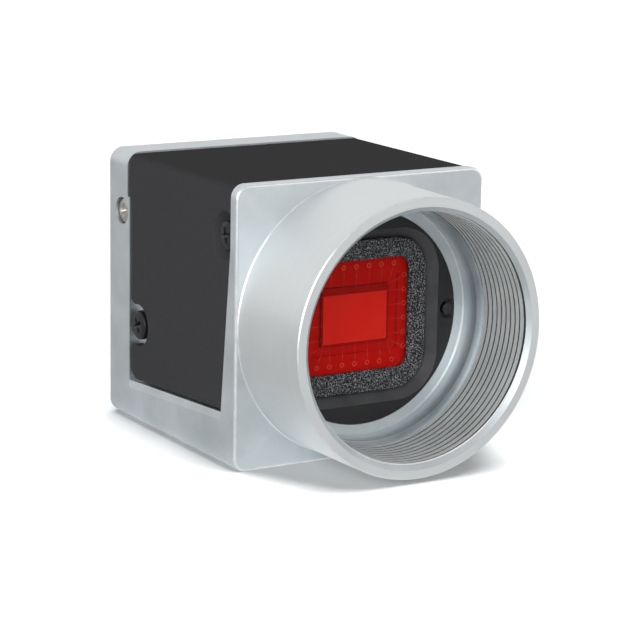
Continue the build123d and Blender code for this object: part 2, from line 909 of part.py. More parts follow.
shell_room = offset(usb_shape, -usb_wall, kind=Kind.INTERSECTION)
usb_shell = prism(usb_shape, receptacle_front_y, usb_rear_y, 0, usb_z)
usb_shell -= prism(shell_room, receptacle_front_y, usb_rear_y, 0, usb_z)
save("usb_shell", usb_shell)
insulator_shape = offset(usb_shape, -usb_wall - seam, kind=Kind.INTERSECTION)
usb_insulator = prism(insulator_shape, receptacle_front_y, usb_socket_y, 0, usb_z)
usb_half = (usb_main_width + usb_side_width) / 2
usb_tongue_z = usb_z + usb_height / 2 - usb_wall - usb_tongue_drop
usb_tongue_top_z = usb_tongue_z + usb_tongue_thickness / 2
usb_tongue_end_y = usb_rear_y - usb_tongue_sink
usb_tongues = (
    (-usb_half + usb_main_width / 2, usb_main_tongue_width, usb_main_pitch),
    (usb_half - usb_side_width / 2 + usb_bevel / 2, usb_side_tongue_width, usb_side_pitch),
)
contacts = []
for x, width, pitch in usb_tongues:
    usb_insulator += block(
        x - width / 2,
        x + width / 2,
        usb_socket_y - usb_tongue_sink,
        usb_tongue_end_y,
        usb_tongue_z - usb_tongue_thickness / 2,
        usb_tongue_top_z,
    )
    for i in range(usb_contacts_each):
        middle = x + (i - (usb_contacts_each - 1) / 2) * pitch
        contacts.append(
            block(
                middle - usb_contact_width / 2,
                middle + usb_contact_width / 2,
                usb_socket_y,
                usb_tongue_end_y - usb_tongue_sink,
                usb_tongue_top_z,
                usb_tongue_top_z + usb_contact_thickness,
            )
        )
save("usb_insulator", usb_insulator)
save("usb_contacts", contacts)


# Round receptacle: metal shell with a keyed socket, insert, pins and panel nut

io_rear_y = rear_y + io_protrusion
io_socket_y = io_rear_y - io_socket_depth
io_flange_y = rear_inner_y - io_flange_thickness
io_front_y = io_flange_y - io_skirt
io_shell = rod_y(io_radius, io_front_y, io_rear_y, io_x, io_z)
io_shell += rod_y(io_flange_radius, io_flange_y, rear_inner_y, io_x, io_z)
io_shell -= rod_y(io_bore_radius, io_front_y, io_rear_y, io_x, io_z)
groove_y = io_rear_y - io_groove_from_end
groove = rod_y(io_flange_radius, groove_y, groove_y + io_groove_width, io_x, io_z)
groove -= rod_y(io_radius - io_groove_depth, groove_y, groove_y + io_groove_width, io_x, io_z)
io_shell -= groove
io_shell += block(
    io_x - io_key_width / 2,
    io_x + io_key_width / 2,
    io_socket_y + fit_gap,
    io_rear_y - io_key_sink,
    io_z + io_bore_radius - io_key_height,
    io_z + (io_bore_radius + io_radius) / 2 - io_groove_depth / 2,
)
save("io_shell", io_shell)

io_nut_end_y = rear_y + io_nut_thickness
io_nut = rod_y(io_nut_radius, rear_y, io_nut_end_y, io_x, io_z)
io_nut = chamfer(edges_at(io_nut, Axis.Y, io_nut_end_y), io_nut_chamfer)
io_nut -= rod_y(io_radius + fit_gap, rear_y, io_nut_end_y, io_x, io_z)
io_nut -= block(
    io_x - io_nut_radius,
    io_x + io_nut_radius,
    rear_y + io_nut_thickness / 2,
    io_nut_end_y,
    io_z - io_nut_slot / 2,
    io_z + io_nut_slot / 2,
)
save("io_nut", io_nut)


def io_pin_places():
    """Centres of the receptacle's pins: one in the middle and the rest on a circle."""
    places = [(io_x, io_z)]
    for i in range(io_pins_around):
        spoke = Vector(0, io_pin_circle, 0).rotate(Axis.Z, i * 360 / io_pins_around)
        places.append((io_x + spoke.X, io_z + spoke.Y))
    return places


io_insert = rod_y(io_bore_radius - fit_gap, receptacle_front_y, io_socket_y, io_x, io_z)
for x, z in io_pin_places():
    io_insert -= rod_y(io_pin_radius, io_socket_y - io_pin_seat, io_socket_y, x, z)
save("io_insert", io_insert)
pin_end_y = io_socket_y + io_pin_length
save(
    "io_pins",
    [rod_y(io_pin_radius, io_socket_y - io_pin_seat, pin_end_y, x, z) for x, z in io_pin_places()],
)


# Status light: a clear pipe from the diode on the board to the rear face

led_rear_y = interface_rear_y + led_thickness
light_pipe = rod_y(light_radius, led_rear_y + led_gap, rear_y + light_protrusion, light_x, light_z)
light_pipe += rod_y(
    light_collar_radius, rear_inner_y - light_collar_thickness, rear_inner_y, light_x, light_z
)
save("light_pipe", light_pipe)
save(
    "status_diode",
    prism(Rectangle(led_width, led_height), interface_rear_y, led_rear_y, light_x, light_z),
)
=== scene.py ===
# Machine vision camera: the finish of each piece, in the order in which the camera is put together.
# Metres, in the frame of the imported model: +Z up, -Y out of the lens mount, +X right from the front.
import json
import math

import bmesh
import bpy
from mathutils import Matrix, Vector, noise


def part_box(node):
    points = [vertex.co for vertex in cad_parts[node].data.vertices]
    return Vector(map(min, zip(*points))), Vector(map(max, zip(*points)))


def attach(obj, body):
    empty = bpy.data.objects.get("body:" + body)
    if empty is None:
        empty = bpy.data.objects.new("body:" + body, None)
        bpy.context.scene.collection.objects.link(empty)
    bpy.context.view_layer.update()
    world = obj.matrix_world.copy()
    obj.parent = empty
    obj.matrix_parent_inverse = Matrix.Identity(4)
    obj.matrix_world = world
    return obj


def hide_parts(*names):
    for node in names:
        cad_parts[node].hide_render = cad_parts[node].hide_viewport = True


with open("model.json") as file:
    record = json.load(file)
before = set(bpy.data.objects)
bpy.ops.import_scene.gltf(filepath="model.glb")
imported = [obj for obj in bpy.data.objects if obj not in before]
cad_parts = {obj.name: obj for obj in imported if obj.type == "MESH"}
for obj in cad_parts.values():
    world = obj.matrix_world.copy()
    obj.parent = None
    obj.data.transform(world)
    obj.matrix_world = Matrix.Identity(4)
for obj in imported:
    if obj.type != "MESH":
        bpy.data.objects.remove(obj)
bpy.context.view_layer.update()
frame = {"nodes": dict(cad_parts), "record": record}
parts = frame["nodes"]
mounts = {mount["name"]: mount for mount in frame["record"]["mounts"]}
mm = 0.001


# Front housing: front plate, lens tube and base in one aluminium die-casting, blasted and tumbled to a
# satin skin. The tube, its rim and the bore are turned afterwards, so they are brighter and show fine
# rings where the tool ran.

axis_z = mounts["lens_mount"]["pos_m"][2]
rim_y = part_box("front_housing")[0].y
ledge_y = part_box("sensor_frame")[0].y
bore_radius = mounts["lens_mount"]["dims"]["r_mm"] * mm
body_depth = 28.0 * mm
plate_y = -body_depth / 2
turned_reach = 0.6 * mm
groove_depth = 0.14 * mm
thread_length = mounts["lens_mount"]["dims"]["length_mm"] * mm
thread_middle_y = mounts["lens_mount"]["pos_m"][1]
thread_end_y = thread_middle_y + thread_length / 2
mouth_y = thread_middle_y - thread_length / 2

# Where each machined strip or painted edge highlight starts and ends, from the bore, the rim or the
# plate's front, and how far the normal of its faces leans towards the lens axis.
slack = 0.01 * mm
thread_slack = 0.04 * mm
rim_break_reach = 1.2 * mm
rim_break_depth = 0.1 * mm
tube_root_reach = 1.45 * mm
tube_root_depth = 0.09 * mm
tube_start = 0.12 * mm
plate_edge_reach = 1.7 * mm
plate_edge_depth = 0.29 * mm
along_axis = 0.1
plate_face = 0.97
chamfer_low = 0.5
chamfer_high = 0.9

cast_light = "#e3e9ec"
cast_dark = "#d1d8db"
turned_light = "#f3f5f6"
turned_dark = "#e9edee"
land_light = "#fdfefe"
groove_shade_dark = "#4a4d50"
groove_shade_grey = "#606366"
highlight_and_land_white = "#fbfcfc"
edge_highlight_grey = "#eef1f2"
cloud_size = 5.0 * mm
mottle_size = 0.8 * mm
# Real blasting leaves pits of about 0.05 mm and the turning tool moved about 0.03 mm a turn. Both are
# drawn coarser, so that they show.
blast_grain = 0.16 * mm
tool_step = 0.07 * mm


def linear(hex_colour):
    """An sRGB hex colour as the linear colour that shaders take."""
    channels = [int(hex_colour[i : i + 2], 16) / 255 for i in (1, 3, 5)]
    return [c / 12.92 if c <= 0.04045 else ((c + 0.055) / 1.055) ** 2.4 for c in channels] + [1.0]


def add(tree, kind, settings=None, inputs=None):
    """A new node, with its settings and with each input set to a value or linked to an output."""
    node = tree.nodes.new(kind)
    for name, value in (settings or {}).items():
        setattr(node, name, value)
    for name, value in (inputs or {}).items():
        if isinstance(value, bpy.types.NodeSocket):
            tree.links.new(value, node.inputs[name])
        else:
            node.inputs[name].default_value = value
    return node


def finish(name, **numbers):
    """A new material, with uniform numbers set on its shader's own sockets: (material, tree, shader)."""
    material = bpy.data.materials.new(name)
    material.use_nodes = True
    shader = material.node_tree.nodes["Principled BSDF"]
    for socket, value in numbers.items():
        shader.inputs[socket.replace("_", " ")].default_value = value
    return material, material.node_tree, shader


def wear(node_name, material):
    """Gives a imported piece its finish."""
    mesh = parts[node_name].data
    mesh.materials.clear()
    mesh.materials.append(material)


# Blasted castings scatter light evenly, with faint clouds where the skin is closer or more open.
satin_cast, tree, shader = finish("satin_die_cast_aluminium", Metallic=1.0)
place = add(tree, "ShaderNodeTexCoord").outputs["Object"]
cloud = add(
    tree, "ShaderNodeTexNoise", {},
    {"Vector": place, "Scale": 1 / cloud_size, "Detail": 6.0, "Roughness": 0.62},
).outputs["Fac"]
grain = add(
    tree, "ShaderNodeTexNoise", {}, {"Vector": place, "Scale": 1 / blast_grain, "Detail": 3.0}
).outputs["Fac"]
fade = add(
    tree, "ShaderNodeMapRange", {}, {"Value": cloud, "From Min": 0.3, "From Max": 0.7}
).outputs["Result"]
tint = add(
    tree, "ShaderNodeMix", {"data_type": "RGBA"},
    {"Factor": fade, "A": linear(cast_dark), "B": linear(cast_light)},
).outputs["Result"]
tree.links.new(tint, shader.inputs["Base Color"])
rough = add(
    tree, "ShaderNodeMapRange", {}, {"Value": fade, "To Min": 0.4, "To Max": 0.52}
).outputs["Result"]
tree.links.new(rough, shader.inputs["Roughness"])
bump = add(
    tree, "ShaderNodeBump", {}, {"Height": grain, "Strength": 0.22, "Distance": 0.02 * mm}
).outputs["Normal"]
tree.links.new(bump, shader.inputs["Normal"])

# Turned faces carry rings round the lens axis, so their noise is drawn by radius and depth.
turned_metal, tree, shader = finish("turned_aluminium", Metallic=1.0)
place = add(tree, "ShaderNodeTexCoord").outputs["Object"]
split = add(tree, "ShaderNodeSeparateXYZ", {}, {"Vector": place})
rise = add(
    tree, "ShaderNodeMath", {"operation": "SUBTRACT"}, {0: split.outputs["Z"], 1: axis_z}
).outputs[0]
across = add(tree, "ShaderNodeCombineXYZ", {}, {"X": split.outputs["X"], "Y": rise}).outputs["Vector"]
radius = add(
    tree, "ShaderNodeVectorMath", {"operation": "LENGTH"}, {"Vector": across}
).outputs["Value"]
ring = add(tree, "ShaderNodeCombineXYZ", {}, {"X": radius, "Y": split.outputs["Y"]}).outputs["Vector"]
tool_mark = add(
    tree, "ShaderNodeTexNoise", {}, {"Vector": ring, "Scale": 1 / tool_step, "Detail": 2.0}
).outputs["Fac"]
smear = add(
    tree, "ShaderNodeTexNoise", {}, {"Vector": place, "Scale": 1 / cloud_size, "Detail": 4.0}
).outputs["Fac"]
fade = add(
    tree, "ShaderNodeMapRange", {}, {"Value": tool_mark, "From Min": 0.3, "From Max": 0.7}
).outputs["Result"]
tint = add(
    tree, "ShaderNodeMix", {"data_type": "RGBA"},
    {"Factor": fade, "A": linear(turned_dark), "B": linear(turned_light)},
).outputs["Result"]
tree.links.new(tint, shader.inputs["Base Color"])
rough = add(
    tree, "ShaderNodeMapRange", {},
    {"Value": smear, "From Min": 0.3, "From Max": 0.7, "To Min": 0.38, "To Max": 0.5},
).outputs["Result"]
tree.links.new(rough, shader.inputs["Roughness"])
bump = add(
    tree, "ShaderNodeBump", {}, {"Height": tool_mark, "Strength": 0.12, "Distance": 0.01 * mm}
).outputs["Normal"]
tree.links.new(bump, shader.inputs["Normal"])

# Edges come out of the tumbling barrel burnished and smoother than the faces beside them. Their brighter
# colour is a painted highlight, where the rounded edges would catch the lamps.
edge_highlight, tree, shader = finish("painted_edge_highlight", Metallic=1.0)
place = add(tree, "ShaderNodeTexCoord").outputs["Object"]
edge_mottle = add(
    tree, "ShaderNodeTexNoise", {}, {"Vector": place, "Scale": 1 / mottle_size, "Detail": 4.0}
).outputs["Fac"]
fade = add(
    tree, "ShaderNodeMapRange", {}, {"Value": edge_mottle, "From Min": 0.3, "From Max": 0.7}
).outputs["Result"]
tint = add(
    tree, "ShaderNodeMix", {"data_type": "RGBA"},
    {"Factor": fade, "A": linear(edge_highlight_grey), "B": linear(highlight_and_land_white)},
).outputs["Result"]
tree.links.new(tint, shader.inputs["Base Color"])
rough = add(
    tree, "ShaderNodeMapRange", {}, {"Value": fade, "To Min": 0.3, "To Max": 0.42}
).outputs["Result"]
tree.links.new(rough, shader.inputs["Roughness"])

# The lands of the thread are bright, and its grooves are darker: painted shade, where little light
# reaches down between the ridges.
thread_land, tree, shader = finish("thread_land", Metallic=1.0)
place = add(tree, "ShaderNodeTexCoord").outputs["Object"]
smear = add(
    tree, "ShaderNodeTexNoise", {}, {"Vector": place, "Scale": 1 / cloud_size, "Detail": 4.0}
).outputs["Fac"]
fade = add(
    tree, "ShaderNodeMapRange", {}, {"Value": smear, "From Min": 0.3, "From Max": 0.7}
).outputs["Result"]
tint = add(
    tree, "ShaderNodeMix", {"data_type": "RGBA"},
    {"Factor": fade, "A": linear(highlight_and_land_white), "B": linear(land_light)},
).outputs["Result"]
tree.links.new(tint, shader.inputs["Base Color"])
rough = add(
    tree, "ShaderNodeMapRange", {}, {"Value": fade, "To Min": 0.68, "To Max": 0.78}
).outputs["Result"]
tree.links.new(rough, shader.inputs["Roughness"])

thread_groove_shade, tree, shader = finish("thread_groove_shade", Metallic=1.0, Roughness=0.6)
place = add(tree, "ShaderNodeTexCoord").outputs["Object"]
groove_mottle = add(
    tree, "ShaderNodeTexNoise", {}, {"Vector": place, "Scale": 1 / mottle_size, "Detail": 4.0}
).outputs["Fac"]
fade = add(
    tree, "ShaderNodeMapRange", {}, {"Value": groove_mottle, "From Min": 0.3, "From Max": 0.7}
).outputs["Result"]
tint = add(
    tree, "ShaderNodeMix", {"data_type": "RGBA"},
    {"Factor": fade, "A": linear(groove_shade_dark), "B": linear(groove_shade_grey)},
).outputs["Result"]
tree.links.new(tint, shader.inputs["Base Color"])

wear("front_housing", satin_cast)
for material in (turned_metal, edge_highlight, thread_groove_shade):
    parts["front_housing"].data.materials.append(material)
cast_slot, turned_slot, highlight_slot, groove_shade_slot = range(4)
for face in parts["front_housing"].data.polygons:
    y = face.center.y
    from_axis = math.hypot(face.center.x, face.center.z - axis_z)
    past_bore = from_axis - bore_radius
    in_bore = past_bore < turned_reach and y < ledge_y + slack
    on_thread = abs(past_bore) < thread_slack and abs(face.normal.y) < along_axis and y < ledge_y
    on_chamfer = past_bore > thread_slack and chamfer_low < -face.normal.y < chamfer_high
    on_mouth = in_bore and on_chamfer and y < mouth_y
    on_undercut = in_bore and y > thread_end_y
    on_break = past_bore > rim_break_reach and rim_y + slack < y < rim_y + rim_break_depth
    on_root = past_bore > tube_root_reach and plate_y - tube_root_depth < y < plate_y - slack
    on_corner = abs(face.normal.y) < plate_face and plate_y - slack < y < plate_y + plate_edge_depth
    on_edge = on_corner and past_bore > plate_edge_reach
    # The bore between the ridges wears the groove's painted shade.
    if on_thread:
        face.material_index = groove_shade_slot
    elif on_mouth or on_undercut:
        face.material_index = cast_slot
    # The rim's break, the tube's root and the plate's rounded edges wear the painted edge highlight.
    elif on_break or on_root or on_edge:
        face.material_index = highlight_slot
    elif in_bore or y < plate_y - tube_start:
        face.material_index = turned_slot


# Lens thread: cut into the bore with a 60 degree tool, 32 threads to the inch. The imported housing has
# the bore at the thread's root, and these ridges stand on it with a flat crest, from mouth to undercut.

thread_pitch = 25.4 * mm / 32
thread_sink = 0.03 * mm
thread_start = 0.15 * mm
crest_flat = 0.61 * mm
root_flat = 0.07 * mm
thread_steps = 180
mouth_clearance = 0.01 * mm
thread_sharp = math.radians(20)


def skin(name, rows, closed_rows=True, closed_ends=False):
    """A mesh through rows of points: each row is joined to the next, and its ends may be filled."""
    mesh = bpy.data.meshes.new(name)
    count = len(rows[0])
    points = [point for row in rows for point in row]
    faces = []
    for i in range(len(rows) - 1):
        for j in range(count if closed_rows else count - 1):
            a, b = i * count + j, i * count + (j + 1) % count
            faces.append((a, b, b + count, a + count))
    if closed_ends:
        faces.append(tuple(reversed(range(count))))
        faces.append(tuple(range(len(points) - count, len(points))))
    mesh.from_pydata(points, [], faces)
    mesh.validate()
    return mesh


def piece(name, mesh, material, sharp=math.radians(35)):
    """A new piece of the camera, smooth but for edges sharper than an angle."""
    cleaner = bmesh.new()
    cleaner.from_mesh(mesh)
    bmesh.ops.recalc_face_normals(cleaner, faces=cleaner.faces)
    cleaner.to_mesh(mesh)
    cleaner.free()
    mesh.shade_smooth()
    mesh.set_sharp_from_angle(angle=sharp)
    mesh.materials.clear()
    mesh.materials.append(material)
    made = bpy.data.objects.new(name, mesh)
    bpy.context.scene.collection.objects.link(made)
    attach(made, "root")
    return made


mouth_radius = bore_radius + (mouth_y - rim_y)
half_foot = (thread_pitch - root_flat) / 2
first_turn = (mouth_y - rim_y - thread_start - half_foot) / thread_pitch
last_turn = (thread_end_y - rim_y - thread_start + half_foot) / thread_pitch
crest_radius = bore_radius - groove_depth
root_radius = bore_radius + thread_sink
rows = []
for i in range(round((last_turn - first_turn) * thread_steps)):
    turn = first_turn + (i + 0.5) / thread_steps
    y = rim_y + thread_start + turn * thread_pitch
    row = []
    angle = -2 * math.pi * turn
    for r, at in (
        (root_radius, y - half_foot),
        (crest_radius, y - crest_flat / 2),
        (crest_radius, y + crest_flat / 2),
        (root_radius, y + half_foot),
    ):
        at = min(max(at, mouth_y - groove_depth), thread_end_y - thread_sink)
        r = max(r, mouth_radius - (at - rim_y) + mouth_clearance)
        row.append((r * math.cos(angle), at, axis_z + r * math.sin(angle)))
    rows.append(row)
ridge = skin("lens_thread", rows, closed_ends=True)
thread = piece("lens_thread", ridge, thread_groove_shade, thread_sharp)
thread.data.materials.append(thread_land)
# A step of the ridge has four faces, and the second of them is its flat crest.
# The crest wears the bright land finish, and the flanks and root wear the groove's painted shade.
for face in thread.data.polygons:
    face.material_index = 1 if face.index % 4 == 1 else 0


# Image sensor: a fired ceramic package with a cavity, the silicon die glued in it, and ring-shaped gold
# pads on the shelf. Fine gold wires run from each pad to the die's edge. The ceramic is brown, and is
# written redder here, because it is only ever seen lit through the red window.

ceramic_light = "#dc483a"
ceramic_dark = "#c93e31"
ceramic_grain = 0.2 * mm
silicon_border = "#a8281e"
silicon_pixels = "#f8ece2"
pixel_half_width = 3.77 * mm
pixel_half_height = 2.51 * mm
pixel_drop = 0.24 * mm
gold_colour = "#ffe9bb"
gold_shade = "#f7d08c"
pad_ring_radius = 0.22 * mm
pad_ring_wire = 0.06 * mm
wire_radius = 0.012 * mm
wire_rise = 0.12 * mm
gold_grain = 0.3 * mm
pad_weld = 0.001 * mm
die_margin = 0.2 * mm
ring_steps = 24
wire_steps = 12

# Fired ceramic is matt and faintly grainy.
fired_ceramic, tree, shader = finish("fired_ceramic", Roughness=0.55)
place = add(tree, "ShaderNodeTexCoord").outputs["Object"]
speck = add(
    tree, "ShaderNodeTexNoise", {}, {"Vector": place, "Scale": 1 / ceramic_grain, "Detail": 4.0}
).outputs["Fac"]
fade = add(
    tree, "ShaderNodeMapRange", {}, {"Value": speck, "From Min": 0.3, "From Max": 0.7}
).outputs["Result"]
tint = add(
    tree, "ShaderNodeMix", {"data_type": "RGBA"},
    {"Factor": fade, "A": linear(ceramic_dark), "B": linear(ceramic_light)},
).outputs["Result"]
tree.links.new(tint, shader.inputs["Base Color"])
bump = add(
    tree, "ShaderNodeBump", {}, {"Height": speck, "Strength": 0.3, "Distance": 0.01 * mm}
).outputs["Normal"]
tree.links.new(bump, shader.inputs["Normal"])
wear("sensor_package", fired_ceramic)

# The die is a dark polished border round the pale field of pixels, which sits a little below its middle.
silicon, tree, shader = finish("polished_silicon", Roughness=0.5)
place = add(tree, "ShaderNodeTexCoord").outputs["Object"]
split = add(tree, "ShaderNodeSeparateXYZ", {}, {"Vector": place})
side = add(tree, "ShaderNodeMath", {"operation": "ABSOLUTE"}, {0: split.outputs["X"]}).outputs[0]
drop = add(
    tree, "ShaderNodeMath", {"operation": "SUBTRACT"}, {0: split.outputs["Z"], 1: axis_z - pixel_drop}
).outputs[0]
height = add(tree, "ShaderNodeMath", {"operation": "ABSOLUTE"}, {0: drop}).outputs[0]
in_width = add(
    tree, "ShaderNodeMath", {"operation": "LESS_THAN"}, {0: side, 1: pixel_half_width}
).outputs[0]
in_height = add(
    tree, "ShaderNodeMath", {"operation": "LESS_THAN"}, {0: height, 1: pixel_half_height}
).outputs[0]
pixels = add(tree, "ShaderNodeMath", {"operation": "MULTIPLY"}, {0: in_width, 1: in_height}).outputs[0]
tint = add(
    tree, "ShaderNodeMix", {"data_type": "RGBA"},
    {"Factor": pixels, "A": linear(silicon_border), "B": linear(silicon_pixels)},
).outputs["Result"]
tree.links.new(tint, shader.inputs["Base Color"])
wear("sensor_die", silicon)

# Gold plating over nickel is warm and satin, and slightly uneven in tone.
gold_plate, tree, shader = finish("gold_plate", Metallic=1.0, Roughness=0.5)
place = add(tree, "ShaderNodeTexCoord").outputs["Object"]
speck = add(
    tree, "ShaderNodeTexNoise", {}, {"Vector": place, "Scale": 1 / gold_grain, "Detail": 3.0}
).outputs["Fac"]
fade = add(
    tree, "ShaderNodeMapRange", {}, {"Value": speck, "From Min": 0.3, "From Max": 0.7}
).outputs["Result"]
tint = add(
    tree, "ShaderNodeMix", {"data_type": "RGBA"},
    {"Factor": fade, "A": linear(gold_shade), "B": linear(gold_colour)},
).outputs["Result"]
tree.links.new(tint, shader.inputs["Base Color"])

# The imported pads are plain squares. They wear the ceramic, and the ring on each is a piece of its own.
wear("bond_pads", fired_ceramic)

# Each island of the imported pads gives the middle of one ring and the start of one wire.
loose = bmesh.new()
loose.from_mesh(parts["bond_pads"].data)
bmesh.ops.remove_doubles(loose, verts=loose.verts, dist=pad_weld)
pad_centres = []
waiting = set(loose.verts)
while waiting:
    island = {waiting.pop()}
    reached = list(island)
    while reached:
        vertex = reached.pop()
        for link in vertex.link_edges:
            other = link.other_vert(vertex)
            if other in waiting:
                waiting.remove(other)
                island.add(other)
                reached.append(other)
    corners = [vertex.co for vertex in island]
    pad_centres.append(Vector((
        (min(c.x for c in corners) + max(c.x for c in corners)) / 2,
        min(c.y for c in corners),
        (min(c.z for c in corners) + max(c.z for c in corners)) / 2,
    )))
loose.free()
pad_centres.sort(key=lambda c: (round(c.z / mm, 2), round(c.x / mm, 2)))


def tube(path, radius, sides=8):
    """Rows of points round a path, for a wire or a rod."""
    rows = []
    for i, point in enumerate(path):
        ahead = path[min(i + 1, len(path) - 1)]
        behind = path[max(i - 1, 0)]
        along = (ahead - behind).normalized()
        across = Vector((0, 1, 0)) if abs(along.y) < 0.9 else Vector((1, 0, 0))
        side = along.cross(across).normalized()
        up = side.cross(along)
        spokes = [2 * math.pi * k / sides for k in range(sides)]
        rows.append([point + radius * (math.cos(a) * side + math.sin(a) * up) for a in spokes])
    return rows


def joined(name, meshes):
    """One mesh from several."""
    whole = bmesh.new()
    for mesh in meshes:
        whole.from_mesh(mesh)
        bpy.data.meshes.remove(mesh)
    made = bpy.data.meshes.new(name)
    whole.to_mesh(made)
    whole.free()
    return made


die_low, die_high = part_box("sensor_die")
rings = []
wires = []
for centre in pad_centres:
    circle = []
    for k in range(ring_steps + 1):
        angle = 2 * math.pi * k / ring_steps
        circle.append(centre + pad_ring_radius * Vector((math.cos(angle), 0, math.sin(angle))))
    rings.append(skin("pad_ring", tube(circle, pad_ring_wire)))
    landing = Vector((
        min(max(centre.x, die_low.x + die_margin), die_high.x - die_margin),
        die_low.y,
        min(max(centre.z, die_low.z + die_margin), die_high.z - die_margin),
    ))
    path = []
    for k in range(wire_steps + 1):
        part = k / wire_steps
        point = centre.lerp(landing, part)
        point.y -= wire_rise * 4 * part * (1 - part)
        path.append(point)
    wires.append(skin("bond_wire", tube(path, wire_radius, sides=6), closed_ends=True))
piece("bond_pad_rings", joined("bond_pad_rings", rings), gold_plate)
piece("bond_wires", joined("bond_wires", wires), gold_plate)


# Cover glass: a red filter glass glued over the package, polished and given an anti-reflection coating.
# Light crosses it on its way in and out, which deepens the tint to a strong red, and the coating mirrors
# the studio only faintly.

glass_red = "#ff6a5c"
glass_deep = "#ff6256"
glass_face = "#ffb2a4"
coating_mirror = "#595959"
haze_size = 4.0 * mm

filter_glass, tree, shader = finish(
    "red_filter_glass", IOR=1.52, Roughness=0.02, Transmission_Weight=1.0
)
shader.inputs["Specular Tint"].default_value = linear(coating_mirror)
place = add(tree, "ShaderNodeTexCoord").outputs["Object"]
haze = add(
    tree, "ShaderNodeTexNoise", {}, {"Vector": place, "Scale": 1 / haze_size, "Detail": 2.0}
).outputs["Fac"]
fade = add(
    tree, "ShaderNodeMapRange", {}, {"Value": haze, "From Min": 0.3, "From Max": 0.7}
).outputs["Result"]
tint = add(
    tree, "ShaderNodeMix", {"data_type": "RGBA"},
    {"Factor": fade, "A": linear(glass_deep), "B": linear(glass_red)},
).outputs["Result"]
tree.links.new(tint, shader.inputs["Base Color"])
lamp_ray = add(tree, "ShaderNodeLightPath").outputs["Is Shadow Ray"]
passed = add(tree, "ShaderNodeBsdfTransparent", {}, {"Color": linear(glass_face)}).outputs["BSDF"]
glass = add(
    tree, "ShaderNodeMixShader", {}, {0: lamp_ray, 1: shader.outputs["BSDF"], 2: passed}
).outputs["Shader"]
tree.links.new(glass, tree.nodes["Material Output"].inputs["Surface"])
wear("sensor_cover_glass", filter_glass)

# The turned bore would mirror more red than the real one does, so mirror rays pass these pieces by.
for node_name in ("sensor_cover_glass", "sensor_die", "sensor_package", "bond_pads"):
    parts[node_name].visible_glossy = False


# Gasket: a soft seal of black cellular rubber between the frame and the glass. Its cut face is open
# cells, so it is lumpy and shows grey specks, partly pale cell walls and partly a painted glint; its
# outside bulges to the frame's wall and its lip over the glass is ragged.

foam_black = "#18181a"
foam_grey_and_glint = "#d6d9dd"
foam_cell = 0.26 * mm
foam_lump = 0.09 * mm
foam_bubble = 0.2 * mm
foam_fleck = 0.14 * mm
foam_sharp = math.radians(70)
foam_steps = 620
foam_rows = 22
shoulder_share = 0.35
gasket_low, gasket_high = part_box("sensor_gasket")
gasket_bulge = 0.16 * mm
gasket_half = (gasket_high.x - gasket_low.x) / 2 + gasket_bulge
gasket_corner = 3.6 * mm
foam_edge = 7.15 * mm
foam_edge_corner = 2.9 * mm
window_half_width = 6.02 * mm
window_half_height = 5.8 * mm
window_corner = 1.2 * mm
lip_lift = 0.02 * mm
lip_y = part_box("sensor_cover_glass")[0].y - lip_lift


def rounded(half_width, half_height, corner, count, y):
    """Points evenly round a rectangle with round corners, across the camera's axis."""
    across = 2 * (half_width - corner)
    upright = 2 * (half_height - corner)
    arc = math.pi / 2 * corner
    sides = ((1, 0, upright), (0, 1, across), (-1, 0, upright), (0, -1, across))
    total = 2 * (across + upright) + 4 * arc
    points = []
    for k in range(count):
        way = k / count * total
        for quarter, (out_x, out_z, straight) in enumerate(sides):
            middle_x = out_x * half_width
            middle_z = out_z * half_height
            if way <= straight:
                slide = way - straight / 2
                x = middle_x - out_z * slide
                z = middle_z + out_x * slide
                points.append(Vector((x, y, axis_z + z)))
                break
            way -= straight
            if way <= arc:
                angle = quarter * math.pi / 2 + way / corner
                centre_x = (half_width - corner) * (1 if quarter in (0, 3) else -1)
                centre_z = (half_height - corner) * (1 if quarter in (0, 1) else -1)
                x = centre_x + corner * math.cos(angle)
                z = centre_z + corner * math.sin(angle)
                points.append(Vector((x, y, axis_z + z)))
                break
            way -= arc
    return points


foam_outline = rounded(gasket_half, gasket_half, gasket_corner, foam_steps, gasket_low.y)
foam_shoulder = rounded(foam_edge, foam_edge, foam_edge_corner, foam_steps, gasket_low.y)
foam_lip = rounded(window_half_width, window_half_height, window_corner, foam_steps, lip_y)
rows = [[Vector((p.x, gasket_high.y, p.z)) for p in foam_outline]]
for k in range(foam_rows + 1):
    part = k / foam_rows
    if part < shoulder_share:
        outer, inner = foam_outline, foam_shoulder
        blend = part / shoulder_share
    else:
        outer, inner = foam_shoulder, foam_lip
        blend = (part - shoulder_share) / (1 - shoulder_share)
    row = []
    for a, b in zip(outer, inner):
        point = a.lerp(b, blend)
        lump = noise.fractal(point / foam_cell, 0.6, 2.0, 3) * foam_lump if k > 0 else 0.0
        ragged = noise.noise(point / foam_cell * 0.7) * foam_lump if k == foam_rows else 0.0
        outward = Vector((point.x, 0, point.z - axis_z)).normalized()
        row.append(point + Vector((0, -1, 0)) * lump + outward * ragged)
    rows.append(row)
rows.append([Vector((p.x, gasket_high.y, p.z)) for p in foam_lip])

